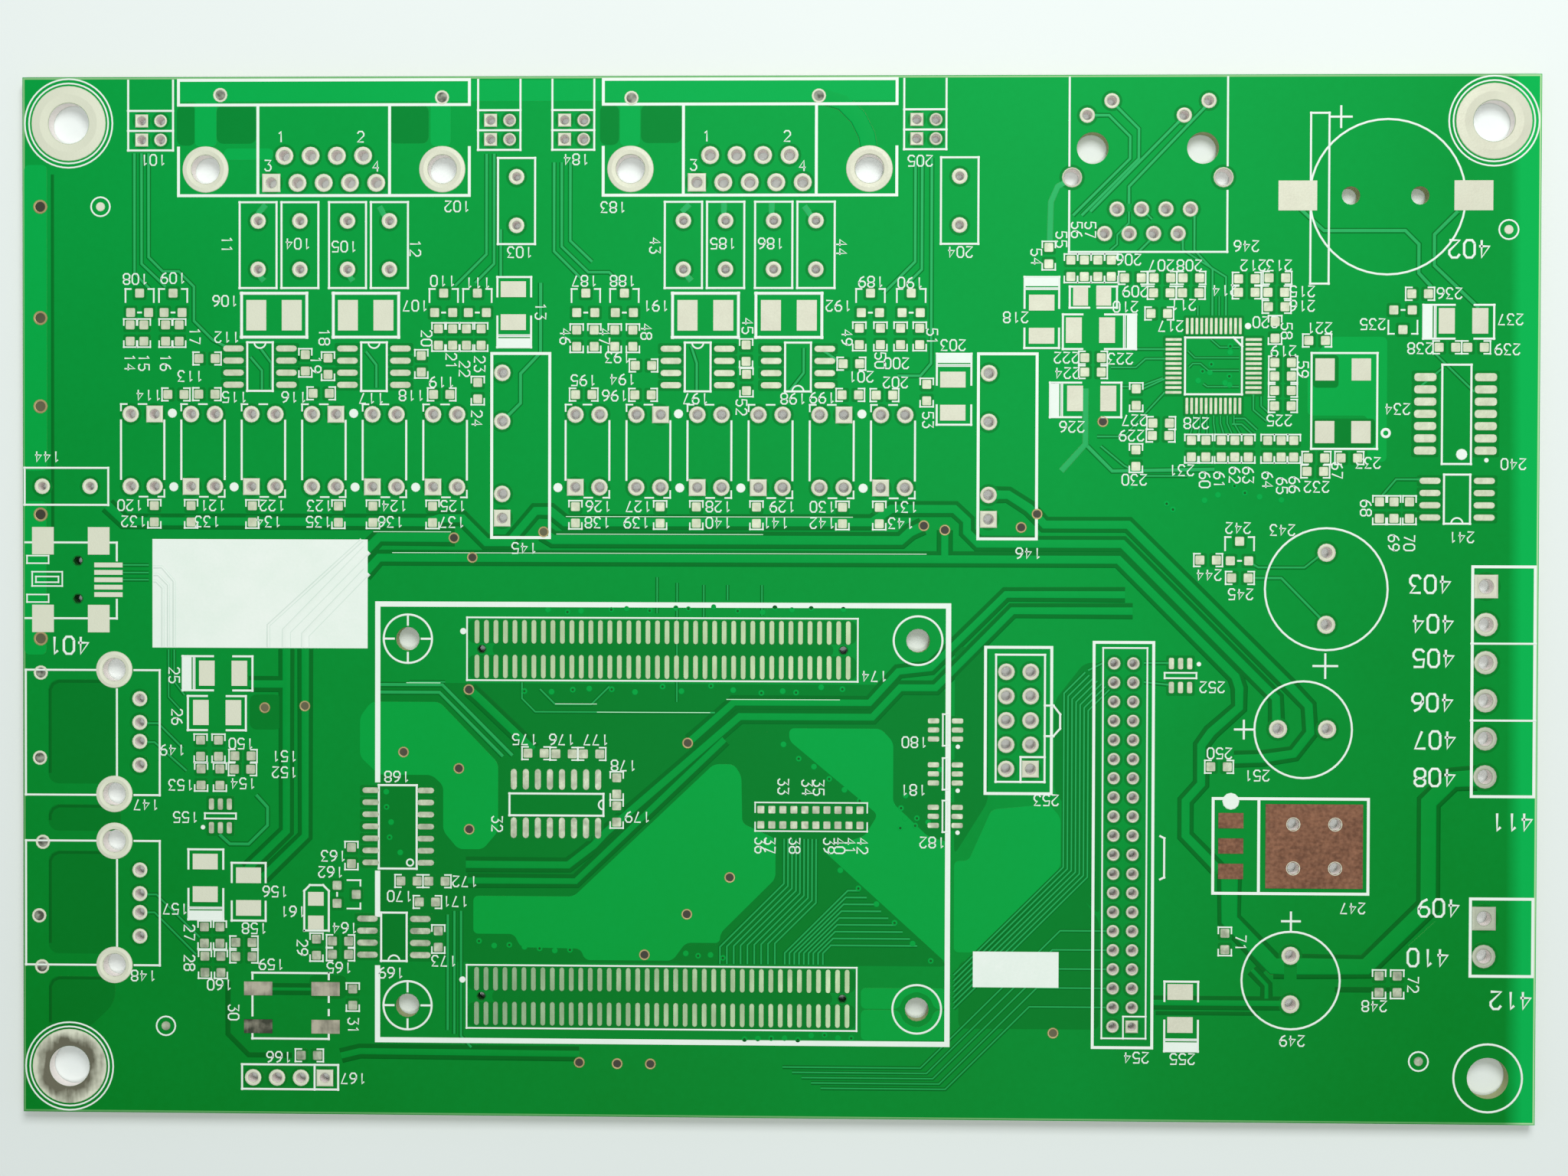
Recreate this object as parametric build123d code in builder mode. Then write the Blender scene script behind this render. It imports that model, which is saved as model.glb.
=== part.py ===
from build123d import *
import os

# Bare laminate
board_length = 158.75
board_width = 109.2
board_thickness = 1.6

# Skins on the top face: plated copper, and printed ink that stays clear of it
land_thickness = 0.06
ink_thickness = 0.03
ink_line = 0.3
ink_edge_margin = 0.2

# Drilled holes that repeat are drawn with few sides, their flats at the drill's diameter
lead_hole_sides = 6
large_hole_sides = 10
corner_ring_sides = 24

# Corner holes for the mounting screws: three are plated, the fourth is bare
corner_inset_x = 4.9
corner_inset_y = 4.85
corner_hole_diameter = 4.3
corner_ring_diameter = 7.9

# Serial ports: two screw locks with two staggered rows of pins between them
serial_port_shares = (-0.299, -0.017)
serial_port_inset = 9.7
serial_lock_spacing = 24.99
serial_lock_ring_diameter = 4.9
serial_lock_hole_diameter = 3.0
serial_pin_pitch = 2.77
serial_row_spacing = 2.84
serial_long_row = 5
serial_short_row = 4
serial_pin_hole_diameter = 1.1
serial_flange_length = 31.0
serial_flange_width = 2.9
serial_side_length = 5.3
serial_front_drop = 2.9
serial_body_length = 14.2

# Indicator blocks: two stacked pairs of leads
led_block_shares = (-0.414, -0.182, -0.133, 0.099)
led_block_inset = 5.6
led_lead_pitch = 2.0
led_hole_diameter = 0.9

# Two-lead parts in a box: four under each serial port, two beside them, one at the left edge
axial_row_drop = 7.95
axial_pair_pitch = 9.45
axial_pitch = 4.42
axial_beside_shares = (-0.171, 0.121)
axial_beside_drop = 3.35
axial_edge_inset = 4.6
axial_edge_share = 0.106
axial_lead_spacing = 5.08
axial_hole_diameter = 0.85
axial_box_length = 9.0
axial_box_width = 3.9

# Isolating couplers: two banks of four-lead packages
coupler_bank_shares = ((-0.319, 0.141), (-0.023, 0.141))
coupler_pitch = 6.4
coupler_count = 6
coupler_lead_pitch = 2.54
coupler_row_spacing = 7.62
coupler_hole_diameter = 1.0

# Isolated converters: four leads on one line of a grid with gaps
converter_shares = (-0.168, 0.153)
converter_core_gap = 6.6
converter_box_length = 6.4
converter_box_width = 19.6
converter_lead_inset = 1.25
converter_lead_pitch = 2.54
converter_lead_steps = (0, 1, 4, 6)
converter_hole_diameter = 1.05

# Network jack: two plastic pegs, two shield tabs, two indicator pairs, eight staggered contacts
jack_share = 0.244
jack_peg_inset = 7.6
jack_peg_spacing = 11.43
jack_peg_diameter = 3.3
jack_tab_spacing = 15.7
jack_tab_drop = 3.05
jack_tab_hole_diameter = 1.7
jack_led_inner_spacing = 7.5
jack_led_outer_spacing = 12.6
jack_led_low_rise = 3.4
jack_led_high_rise = 4.9
jack_contact_pitch = 2.54
jack_contact_count = 4
jack_contact_drop = 6.35
jack_hole_diameter = 0.95

# Full-size ports at the left edge: two shield tabs and four contacts
port_tab_inset = 9.7
port_pair_share = -0.214
port_pitch = 18.1
port_tab_spacing = 13.14
port_ring_diameter = 3.9
port_tab_hole_diameter = 2.4
port_contact_offset = 2.71
port_inner_spacing = 2.0
port_outer_spacing = 7.0
port_hole_diameter = 0.95

# Mini port at the left edge: four shell lands, five contact lands, two plastic pegs
mini_inset = 5.1
mini_port_rise = 16.05
mini_shell_spacing_x = 5.93
mini_shell_spacing_y = 8.2
mini_shell_length = 2.3
mini_shell_width = 2.9
mini_contact_offset = 4.0
mini_contact_pitch = 0.78
mini_contact_count = 5
mini_contact_length = 3.0
mini_contact_width = 0.5
mini_peg_offset = 0.75
mini_peg_spacing = 4.0
mini_peg_diameter = 0.9

# Pin headers: a ten-way box, a forty-way box and a four-way strip
ten_way_share = -0.116
ten_way_core_gap = 3.45
ten_way_pitch = 2.54
ten_way_rows = 5
ten_way_hole_diameter = 1.05
ten_way_box_length = 7.2
ten_way_box_width = 15.6
forty_way_share = -0.235
forty_way_gap = 4.1
forty_way_pitch = 2.0
forty_way_rows = 20
forty_way_hole_diameter = 0.8
forty_way_box_length = 6.5
forty_way_box_width = 42.7
strip_share = (-0.322, -0.465)
strip_pitch = 2.54
strip_count = 4
strip_hole_diameter = 1.0

# Round parts: the sounder, and two can capacitors, one lying and one upright
sounder_share = (0.362, 0.011)
sounder_lead_spacing = 7.5
can_lying_share = (0.347, -0.123)
can_upright_share = (0.340, -0.363)
can_lead_spacing = 5.08
round_part_hole_diameter = 1.1

# Screw terminals at the right edge
terminal_inset = 5.4
terminal_long_share = -0.077
terminal_long_count = 6
terminal_short_share = -0.321
terminal_short_count = 2
terminal_pitch = 3.96
terminal_hole_diameter = 1.5
terminal_outline_inset = 1.55
terminal_outline_margin = 2.2

# Regulator: a bare copper heat tab with four holes, and three bare copper lands
regulator_share = (0.355, -0.235)
regulator_tab_length = 10.1
regulator_tab_width = 8.8
regulator_hole_spacing_x = 4.35
regulator_hole_spacing_y = 4.6
regulator_hole_diameter = 1.2
regulator_land_offset = 8.65
regulator_land_pitch = 2.65
regulator_land_count = 3
regulator_land_length = 2.6
regulator_land_width = 1.6
regulator_outline_margin = 0.7

# Battery clip: two end lands and two plastic pegs
battery_share = (0.399, 0.385)
battery_land_spacing = 18.15
battery_land_length = 4.0
battery_land_width = 3.1
battery_peg_spacing = 7.15
battery_peg_diameter = 1.9

# Power diodes: two wide lands each
diode_shares = (-0.332, -0.271, -0.046, 0.009)
diode_row_drop = 7.35
diode_land_spacing = 3.75
diode_land_length = 2.1
diode_land_width = 3.2

# Capacitors and beads: two lands each, on upright and lying footprints; two stand over the converters
# and one beside the forty-way header
converter_capacitor_shares = (-0.173, 0.175)
converter_capacitor_gaps = (2.3, 0.9)
header_capacitor_share = -0.391
header_capacitor_gap = 1.45
upright_capacitor_shares = ((0.117, 0.194), (-0.378, -0.272), (-0.349, -0.285))
lying_capacitor_shares = ((0.208, 0.192), (0.207, 0.257), (0.450, 0.266),
                          (-0.366, -0.074), (-0.370, -0.112))
capacitor_land_spacing = 3.45
capacitor_land_length = 1.65
capacitor_land_width = 2.65

# Inductor beside the network jack, and the indicator near the push button
inductor_share = (0.208, 0.2895)
inductor_land_spacing = 2.4
inductor_land_length = 1.55
inductor_land_width = 2.0
indicator_share = (-0.304, -0.303)
indicator_land_spacing = 2.5
indicator_land_length = 1.65
indicator_land_width = 1.45

# Crystal: four lands
crystal_share = (0.372, 0.190)
crystal_spacing_x = 3.75
crystal_spacing_y = 6.5
crystal_land_length = 2.0
crystal_land_width = 2.3

# Push button: four lands
button_share = (-0.320, -0.397)
button_spacing_x = 7.15
button_spacing_y = 4.0
button_land_length = 3.0
button_land_width = 1.45

# Core board: its outline, four standoff holes, and two connectors with a peg at each end
core_share = (-0.074, -0.217)
core_length = 60.5
core_width = 46.5
core_line = 0.55
core_standoff_inset_x = 3.45
core_standoff_inset_y = 3.925
core_standoff_diameter = 2.5
core_connector_inset = 4.975
core_contact_pitch = 1.0
core_contact_count = 40
core_row_spacing = 3.65
core_land_length = 0.55
core_land_width = 2.45
core_peg_spacing = 38.0
core_peg_diameter = 0.8
core_break_shares = ((0.41, 0.61), (0.715, 0.825))

# White ink panels, one each side of the core board
panel_share = 0.003
panel_edge_inset = 13.775
panel_width = 11.45
panel_core_gap = 0.8
small_panel_share = -0.355
small_panel_length = 8.95
small_panel_width = 3.75
small_panel_core_gap = 2.4


def on_board(share):
    """Point of the top face, from its shares of the board's length and width about the middle."""
    return (share[0] * board_length, share[1] * board_width)


def drill(diameter, sides):
    """Cut a many-sided hole at each place of the sketch, its flats on the drill's circle."""
    RegularPolygon(diameter / 2, sides, major_radius=False, mode=Mode.SUBTRACT)


def frame(length, width, line):
    """Printed rectangle of one line, measured over the line."""
    Rectangle(length, width)
    Rectangle(length - 2 * line, width - 2 * line, mode=Mode.SUBTRACT)


top_face = Plane.XY.offset(board_thickness)
left_edge = -board_length / 2
right_edge = board_length / 2
top_edge = board_width / 2

corner_x = right_edge - corner_inset_x
corner_y = top_edge - corner_inset_y
plated_corners = [(-corner_x, corner_y), (corner_x, corner_y), (-corner_x, -corner_y)]
bare_corner = (corner_x, -corner_y)

serial_port_y = top_edge - serial_port_inset
serial_ports = [(share * board_length, serial_port_y) for share in serial_port_shares]
serial_half_row = serial_row_spacing / 2
led_blocks = [(share * board_length, top_edge - led_block_inset) for share in led_block_shares]

axial_row_y = serial_port_y - axial_row_drop
axial_centres = [(share * board_length, serial_port_y - axial_beside_drop) for share in axial_beside_shares]
for port_x, port_y in serial_ports:
    for pair_side in (-1, 1):
        pair_x = port_x + pair_side * axial_pair_pitch / 2
        axial_centres.append((pair_x - axial_pitch / 2, axial_row_y))
        axial_centres.append((pair_x + axial_pitch / 2, axial_row_y))
axial_edge_centre = (left_edge + axial_edge_inset, axial_edge_share * board_width)
diodes = [(share * board_length, axial_row_y - diode_row_drop) for share in diode_shares]

core = on_board(core_share)
core_left = core[0] - core_length / 2
core_right = core[0] + core_length / 2
core_top = core[1] + core_width / 2
core_bottom = core[1] - core_width / 2
core_connectors = [
    (core[0], core_top - core_connector_inset),
    (core[0], core_bottom + core_connector_inset),
]
panel_left = -board_length / 2 + panel_edge_inset
panel_right = core_left - panel_core_gap
panel_length = panel_right - panel_left
ink_panel_place = ((panel_left + panel_right) / 2, panel_share * board_width)
small_panel_place = (core_right + small_panel_core_gap + small_panel_length / 2, small_panel_share * board_width)

coupler_banks = [on_board(share) for share in coupler_bank_shares]
converter_y = core_top + converter_core_gap + converter_box_width / 2
converters = [(share * board_length, converter_y) for share in converter_shares]
converter_lead_x = converter_lead_inset - converter_box_length / 2
converter_lead_middle = max(converter_lead_steps) / 2
converter_leads = [
    (converter_lead_x, (step - converter_lead_middle) * converter_lead_pitch)
    for step in converter_lead_steps
]

jack = (jack_share * board_length, top_edge - jack_peg_inset)
jack_leds = [
    (-jack_led_outer_spacing / 2, jack_led_low_rise),
    (-jack_led_inner_spacing / 2, jack_led_high_rise),
    (jack_led_inner_spacing / 2, jack_led_low_rise),
    (jack_led_outer_spacing / 2, jack_led_high_rise),
]
jack_contact_rows = [
    (jack_contact_pitch / 4, -jack_contact_drop),
    (-jack_contact_pitch / 4, -jack_contact_drop - jack_contact_pitch),
]

port_x = left_edge + port_tab_inset
port_pair_y = port_pair_share * board_width
ports = [(port_x, port_pair_y + port_pitch / 2), (port_x, port_pair_y - port_pitch / 2)]
port_contacts = [
    (port_contact_offset, side * spacing / 2)
    for spacing in (port_inner_spacing, port_outer_spacing)
    for side in (-1, 1)
]
mini_port = (left_edge + mini_inset, ports[0][1] + mini_port_rise)

ten_way = (core_right + ten_way_core_gap + ten_way_box_length / 2, ten_way_share * board_width)
forty_way_left = ten_way[0] + ten_way_box_length / 2 + forty_way_gap
forty_way = (forty_way_left + forty_way_box_length / 2, forty_way_share * board_width)

terminal_x = right_edge - terminal_inset
long_terminal = (terminal_x, terminal_long_share * board_width)
short_terminal = (terminal_x, terminal_short_share * board_width)

regulator = on_board(regulator_share)
battery = on_board(battery_share)
crystal = on_board(crystal_share)
button = on_board(button_share)

capacitor_half_width = (capacitor_land_spacing + capacitor_land_length) / 2
upright_capacitors = [on_board(share) for share in upright_capacitor_shares]
for share, gap in zip(converter_capacitor_shares, converter_capacitor_gaps):
    capacitor_bottom = converter_y + converter_box_width / 2 + gap
    upright_capacitors.append((share * board_length, capacitor_bottom + capacitor_half_width))
header_capacitor_left = forty_way_left + forty_way_box_length + header_capacitor_gap
upright_capacitors.append((header_capacitor_left + capacitor_land_width / 2, header_capacitor_share * board_width))
lying_capacitors = [on_board(share) for share in lying_capacitor_shares]

# Laminate: one plate with every drilled hole
with BuildPart() as laminate:
    with BuildSketch():
        Rectangle(board_length, board_width)
        with Locations(*plated_corners, bare_corner):
            Circle(corner_hole_diameter / 2, mode=Mode.SUBTRACT)
        with Locations(core), GridLocations(core_length - 2 * core_standoff_inset_x, core_width - 2 * core_standoff_inset_y, 2, 2):
            drill(core_standoff_diameter, large_hole_sides)
        with Locations(*serial_ports), GridLocations(serial_lock_spacing, 0, 2, 1):
            drill(serial_lock_hole_diameter, large_hole_sides)
        with Locations(*ports), GridLocations(0, port_tab_spacing, 1, 2):
            drill(port_tab_hole_diameter, large_hole_sides)
        with Locations(jack), GridLocations(jack_peg_spacing, 0, 2, 1):
            drill(jack_peg_diameter, large_hole_sides)
        with Locations(battery), GridLocations(battery_peg_spacing, 0, 2, 1):
            drill(battery_peg_diameter, large_hole_sides)
        with Locations(*serial_ports), Locations((0, -serial_half_row)):
            with GridLocations(serial_pin_pitch, 0, serial_long_row, 1):
                drill(serial_pin_hole_diameter, lead_hole_sides)
        with Locations(*serial_ports), Locations((0, serial_half_row)):
            with GridLocations(serial_pin_pitch, 0, serial_short_row, 1):
                drill(serial_pin_hole_diameter, lead_hole_sides)
        with Locations(*led_blocks), GridLocations(led_lead_pitch, led_lead_pitch, 2, 2):
            drill(led_hole_diameter, lead_hole_sides)
        with Locations(*axial_centres), GridLocations(0, axial_lead_spacing, 1, 2):
            drill(axial_hole_diameter, lead_hole_sides)
        with Locations(axial_edge_centre), GridLocations(axial_lead_spacing, 0, 2, 1):
            drill(axial_hole_diameter, lead_hole_sides)
        with Locations(*coupler_banks), GridLocations(coupler_pitch, 0, coupler_count, 1):
            with GridLocations(coupler_lead_pitch, coupler_row_spacing, 2, 2):
                drill(coupler_hole_diameter, lead_hole_sides)
        with Locations(*converters), Locations(*converter_leads):
            drill(converter_hole_diameter, lead_hole_sides)
        with Locations(jack), Locations((0, -jack_tab_drop)), GridLocations(jack_tab_spacing, 0, 2, 1):
            drill(jack_tab_hole_diameter, lead_hole_sides)
        with Locations(jack), Locations(*jack_leds):
            drill(jack_hole_diameter, lead_hole_sides)
        with Locations(jack), Locations(*jack_contact_rows):
            with GridLocations(jack_contact_pitch, 0, jack_contact_count, 1):
                drill(jack_hole_diameter, lead_hole_sides)
        with Locations(*ports), Locations(*port_contacts):
            drill(port_hole_diameter, lead_hole_sides)
        with Locations(mini_port), Locations((mini_peg_offset, 0)), GridLocations(0, mini_peg_spacing, 1, 2):
            drill(mini_peg_diameter, lead_hole_sides)
        with Locations(ten_way):
            with GridLocations(ten_way_pitch, ten_way_pitch, 2, ten_way_rows):
                drill(ten_way_hole_diameter, lead_hole_sides)
        with Locations(forty_way):
            with GridLocations(forty_way_pitch, forty_way_pitch, 2, forty_way_rows):
                drill(forty_way_hole_diameter, lead_hole_sides)
        with Locations(on_board(strip_share)), GridLocations(strip_pitch, 0, strip_count, 1):
            drill(strip_hole_diameter, lead_hole_sides)
        with Locations(on_board(sounder_share)), GridLocations(0, sounder_lead_spacing, 1, 2):
            drill(round_part_hole_diameter, lead_hole_sides)
        with Locations(on_board(can_lying_share)), GridLocations(can_lead_spacing, 0, 2, 1):
            drill(round_part_hole_diameter, lead_hole_sides)
        with Locations(on_board(can_upright_share)), GridLocations(0, can_lead_spacing, 1, 2):
            drill(round_part_hole_diameter, lead_hole_sides)
        with Locations(long_terminal), GridLocations(0, terminal_pitch, 1, terminal_long_count):
            drill(terminal_hole_diameter, lead_hole_sides)
        with Locations(short_terminal), GridLocations(0, terminal_pitch, 1, terminal_short_count):
            drill(terminal_hole_diameter, lead_hole_sides)
        with Locations(regulator), GridLocations(regulator_hole_spacing_x, regulator_hole_spacing_y, 2, 2):
            drill(regulator_hole_diameter, lead_hole_sides)
        with Locations(*core_connectors), GridLocations(core_peg_spacing, 0, 2, 1):
            drill(core_peg_diameter, lead_hole_sides)
    extrude(amount=board_thickness)
laminate.part.label = "laminate"

# Plated rings: wide copper washers round the holes that take screws and shield tabs
with BuildPart() as corner_hole_rings:
    with BuildSketch(top_face):
        with Locations(*plated_corners):
            RegularPolygon(corner_ring_diameter / 2, corner_ring_sides, major_radius=False)
            drill(corner_hole_diameter, corner_ring_sides)
    extrude(amount=land_thickness)
corner_hole_rings.part.label = "corner_hole_rings"

with BuildPart() as serial_lock_rings:
    with BuildSketch(top_face):
        with Locations(*serial_ports), GridLocations(serial_lock_spacing, 0, 2, 1):
            RegularPolygon(serial_lock_ring_diameter / 2, large_hole_sides, major_radius=False)
            drill(serial_lock_hole_diameter, large_hole_sides)
    extrude(amount=land_thickness)
serial_lock_rings.part.label = "serial_lock_rings"

with BuildPart() as port_shield_rings:
    with BuildSketch(top_face):
        with Locations(*ports), GridLocations(0, port_tab_spacing, 1, 2):
            RegularPolygon(port_ring_diameter / 2, large_hole_sides, major_radius=False)
            drill(port_tab_hole_diameter, large_hole_sides)
    extrude(amount=land_thickness)
port_shield_rings.part.label = "port_shield_rings"

# Lands of the surface-mounted parts
with BuildPart() as battery_clip_lands:
    with BuildSketch(top_face):
        with Locations(battery), GridLocations(battery_land_spacing, 0, 2, 1):
            Rectangle(battery_land_length, battery_land_width)
    extrude(amount=land_thickness)
battery_clip_lands.part.label = "battery_clip_lands"

with BuildPart() as diode_lands:
    with BuildSketch(top_face):
        with Locations(*diodes):
            with GridLocations(diode_land_spacing, 0, 2, 1):
                Rectangle(diode_land_length, diode_land_width)
    extrude(amount=land_thickness)
diode_lands.part.label = "diode_lands"

with BuildPart() as capacitor_lands:
    with BuildSketch(top_face):
        with Locations(*upright_capacitors):
            with GridLocations(0, capacitor_land_spacing, 1, 2):
                Rectangle(capacitor_land_width, capacitor_land_length)
        with Locations(*lying_capacitors):
            with GridLocations(capacitor_land_spacing, 0, 2, 1):
                Rectangle(capacitor_land_length, capacitor_land_width)
    extrude(amount=land_thickness)
capacitor_lands.part.label = "capacitor_lands"

with BuildPart() as inductor_lands:
    with BuildSketch(top_face):
        with Locations(on_board(inductor_share)), GridLocations(inductor_land_spacing, 0, 2, 1):
            Rectangle(inductor_land_length, inductor_land_width)
    extrude(amount=land_thickness)
inductor_lands.part.label = "inductor_lands"

with BuildPart() as indicator_lands:
    with BuildSketch(top_face):
        with Locations(on_board(indicator_share)), GridLocations(0, indicator_land_spacing, 1, 2):
            Rectangle(indicator_land_length, indicator_land_width)
    extrude(amount=land_thickness)
indicator_lands.part.label = "indicator_lands"

with BuildPart() as crystal_lands:
    with BuildSketch(top_face):
        with Locations(crystal), GridLocations(crystal_spacing_x, crystal_spacing_y, 2, 2):
            Rectangle(crystal_land_length, crystal_land_width)
    extrude(amount=land_thickness)
crystal_lands.part.label = "crystal_lands"

with BuildPart() as button_lands:
    with BuildSketch(top_face):
        with Locations(button), GridLocations(button_spacing_x, button_spacing_y, 2, 2):
            Rectangle(button_land_length, button_land_width)
    extrude(amount=land_thickness)
button_lands.part.label = "button_lands"

with BuildPart() as mini_port_shell_lands:
    with BuildSketch(top_face):
        with Locations(mini_port), GridLocations(mini_shell_spacing_x, mini_shell_spacing_y, 2, 2):
            Rectangle(mini_shell_length, mini_shell_width)
    extrude(amount=land_thickness)
mini_port_shell_lands.part.label = "mini_port_shell_lands"

with BuildPart() as mini_port_contact_lands:
    with BuildSketch(top_face):
        with Locations(mini_port), Locations((mini_contact_offset, 0)):
            with GridLocations(0, mini_contact_pitch, 1, mini_contact_count):
                Rectangle(mini_contact_length, mini_contact_width)
    extrude(amount=land_thickness)
mini_port_contact_lands.part.label = "mini_port_contact_lands"

with BuildPart() as regulator_tab:
    with BuildSketch(top_face):
        with Locations(regulator):
            Rectangle(regulator_tab_length, regulator_tab_width)
        with Locations(regulator), GridLocations(regulator_hole_spacing_x, regulator_hole_spacing_y, 2, 2):
            drill(regulator_hole_diameter, lead_hole_sides)
    extrude(amount=land_thickness)
regulator_tab.part.label = "regulator_tab"

with BuildPart() as regulator_lands:
    with BuildSketch(top_face):
        with Locations(regulator), Locations((-regulator_land_offset, 0)):
            with GridLocations(0, regulator_land_pitch, 1, regulator_land_count):
                Rectangle(regulator_land_length, regulator_land_width)
    extrude(amount=land_thickness)
regulator_lands.part.label = "regulator_lands"

with BuildPart() as upper_connector_lands:
    with BuildSketch(top_face):
        with Locations(core_connectors[0]):
            with GridLocations(core_contact_pitch, core_row_spacing, core_contact_count, 2):
                Rectangle(core_land_length, core_land_width)
    extrude(amount=land_thickness)
upper_connector_lands.part.label = "upper_connector_lands"

with BuildPart() as lower_connector_lands:
    with BuildSketch(top_face):
        with Locations(core_connectors[1]):
            with GridLocations(core_contact_pitch, core_row_spacing, core_contact_count, 2):
                Rectangle(core_land_length, core_land_width)
    extrude(amount=land_thickness)
lower_connector_lands.part.label = "lower_connector_lands"

# Printed ink: two filled panels and the outlines of the large footprints
with BuildPart() as ink_panel:
    with BuildSketch(top_face):
        with Locations(ink_panel_place):
            Rectangle(panel_length, panel_width)
    extrude(amount=ink_thickness)
ink_panel.part.label = "ink_panel"

with BuildPart() as small_ink_panel:
    with BuildSketch(top_face):
        with Locations(small_panel_place):
            Rectangle(small_panel_length, small_panel_width)
    extrude(amount=ink_thickness)
small_ink_panel.part.label = "small_ink_panel"

with BuildPart() as core_board_outline:
    with BuildSketch(top_face):
        with Locations(core):
            frame(core_length, core_width, core_line)
        for start_share, end_share in core_break_shares:
            break_width = (end_share - start_share) * core_width
            break_y = core_top - (start_share + end_share) / 2 * core_width
            with Locations((core_left + core_line / 2, break_y)):
                Rectangle(2 * core_line, break_width, mode=Mode.SUBTRACT)
    extrude(amount=ink_thickness)
core_board_outline.part.label = "core_board_outline"

with BuildPart() as serial_port_outlines:
    with BuildSketch(top_face):
        for port_x, port_y in serial_ports:
            flange_top = top_edge - ink_edge_margin
            front_y = port_y - serial_front_drop
            body_width = flange_top - serial_flange_width - front_y
            with Locations((port_x, flange_top - serial_flange_width / 2)):
                frame(serial_flange_length, serial_flange_width, ink_line)
            with Locations((port_x, front_y)):
                Rectangle(serial_flange_length, ink_line, align=(Align.CENTER, Align.MIN))
                with GridLocations(serial_flange_length - ink_line, 0, 2, 1):
                    Rectangle(ink_line, serial_side_length, align=(Align.CENTER, Align.MIN))
                with GridLocations(serial_body_length - ink_line, 0, 2, 1):
                    Rectangle(ink_line, body_width, align=(Align.CENTER, Align.MIN))
    extrude(amount=ink_thickness)
serial_port_outlines.part.label = "serial_port_outlines"

with BuildPart() as header_outlines:
    with BuildSketch(top_face):
        with Locations(ten_way):
            frame(ten_way_box_length, ten_way_box_width, ink_line)
        with Locations(forty_way):
            frame(forty_way_box_length, forty_way_box_width, ink_line)
    extrude(amount=ink_thickness)
header_outlines.part.label = "header_outlines"

with BuildPart() as converter_outlines:
    with BuildSketch(top_face):
        with Locations(*converters):
            frame(converter_box_length, converter_box_width, ink_line)
    extrude(amount=ink_thickness)
converter_outlines.part.label = "converter_outlines"

with BuildPart() as regulator_outline:
    with BuildSketch(top_face):
        land_end = -regulator_land_offset - regulator_land_length / 2
        outline_length = regulator_tab_length / 2 - land_end + 2 * regulator_outline_margin
        outline_middle = (regulator_tab_length / 2 + land_end) / 2
        with Locations(regulator), Locations((outline_middle, 0)):
            frame(outline_length, regulator_tab_width + 2 * regulator_outline_margin, ink_line)
        with Locations(regulator), Locations((-regulator_tab_length / 2 - regulator_outline_margin, 0)):
            Rectangle(ink_line, regulator_tab_width + 2 * regulator_outline_margin)
    extrude(amount=ink_thickness)
regulator_outline.part.label = "regulator_outline"

with BuildPart() as terminal_outlines:
    with BuildSketch(top_face):
        outline_left = terminal_x - terminal_outline_inset
        outline_length = right_edge - ink_edge_margin - outline_left
        for (block_x, block_y), count in ((long_terminal, terminal_long_count), (short_terminal, terminal_short_count)):
            block_width = (count - 1) * terminal_pitch + 2 * terminal_outline_margin
            with Locations((outline_left + outline_length / 2, block_y)):
                frame(outline_length, block_width, ink_line)
    extrude(amount=ink_thickness)
terminal_outlines.part.label = "terminal_outlines"

os.makedirs("parts", exist_ok=True)
for piece in (
    laminate, corner_hole_rings, serial_lock_rings, port_shield_rings, battery_clip_lands, diode_lands,
    capacitor_lands, inductor_lands, indicator_lands, crystal_lands, button_lands, mini_port_shell_lands,
    mini_port_contact_lands, regulator_tab, regulator_lands, upper_connector_lands, lower_connector_lands,
    ink_panel, small_ink_panel, core_board_outline, serial_port_outlines, header_outlines, converter_outlines,
    regulator_outline, terminal_outlines,
):
    export_step(piece.part, "parts/" + piece.part.label + ".step")
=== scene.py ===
import bmesh
import bpy
import math
import random
from mathutils import Matrix, Vector


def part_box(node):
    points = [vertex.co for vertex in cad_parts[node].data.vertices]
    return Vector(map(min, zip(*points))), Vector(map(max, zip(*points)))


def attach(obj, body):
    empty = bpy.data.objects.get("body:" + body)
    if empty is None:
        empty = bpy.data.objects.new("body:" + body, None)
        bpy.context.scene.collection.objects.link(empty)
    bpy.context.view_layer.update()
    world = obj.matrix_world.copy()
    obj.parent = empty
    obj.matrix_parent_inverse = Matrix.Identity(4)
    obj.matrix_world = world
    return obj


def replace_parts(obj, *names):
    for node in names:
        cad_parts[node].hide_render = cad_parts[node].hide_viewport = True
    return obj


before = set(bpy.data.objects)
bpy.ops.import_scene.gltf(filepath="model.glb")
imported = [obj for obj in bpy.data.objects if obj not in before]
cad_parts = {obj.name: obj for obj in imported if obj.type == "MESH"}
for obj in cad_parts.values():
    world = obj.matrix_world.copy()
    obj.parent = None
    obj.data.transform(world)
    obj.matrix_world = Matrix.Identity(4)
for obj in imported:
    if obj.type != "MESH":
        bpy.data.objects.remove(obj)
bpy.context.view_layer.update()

# Table top and lamps: the board lies on a pale matt sheet in a softly lit room.
# One lamp stands beyond the top edge, so the mask is a little brighter there.
# The other hangs nearly overhead and shines into the holes.
MM = 0.001
BOARD_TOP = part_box("laminate")[1][2] / MM
UNDERSIDE_RISE = 0.03
TABLE_HALF = 2500


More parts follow.
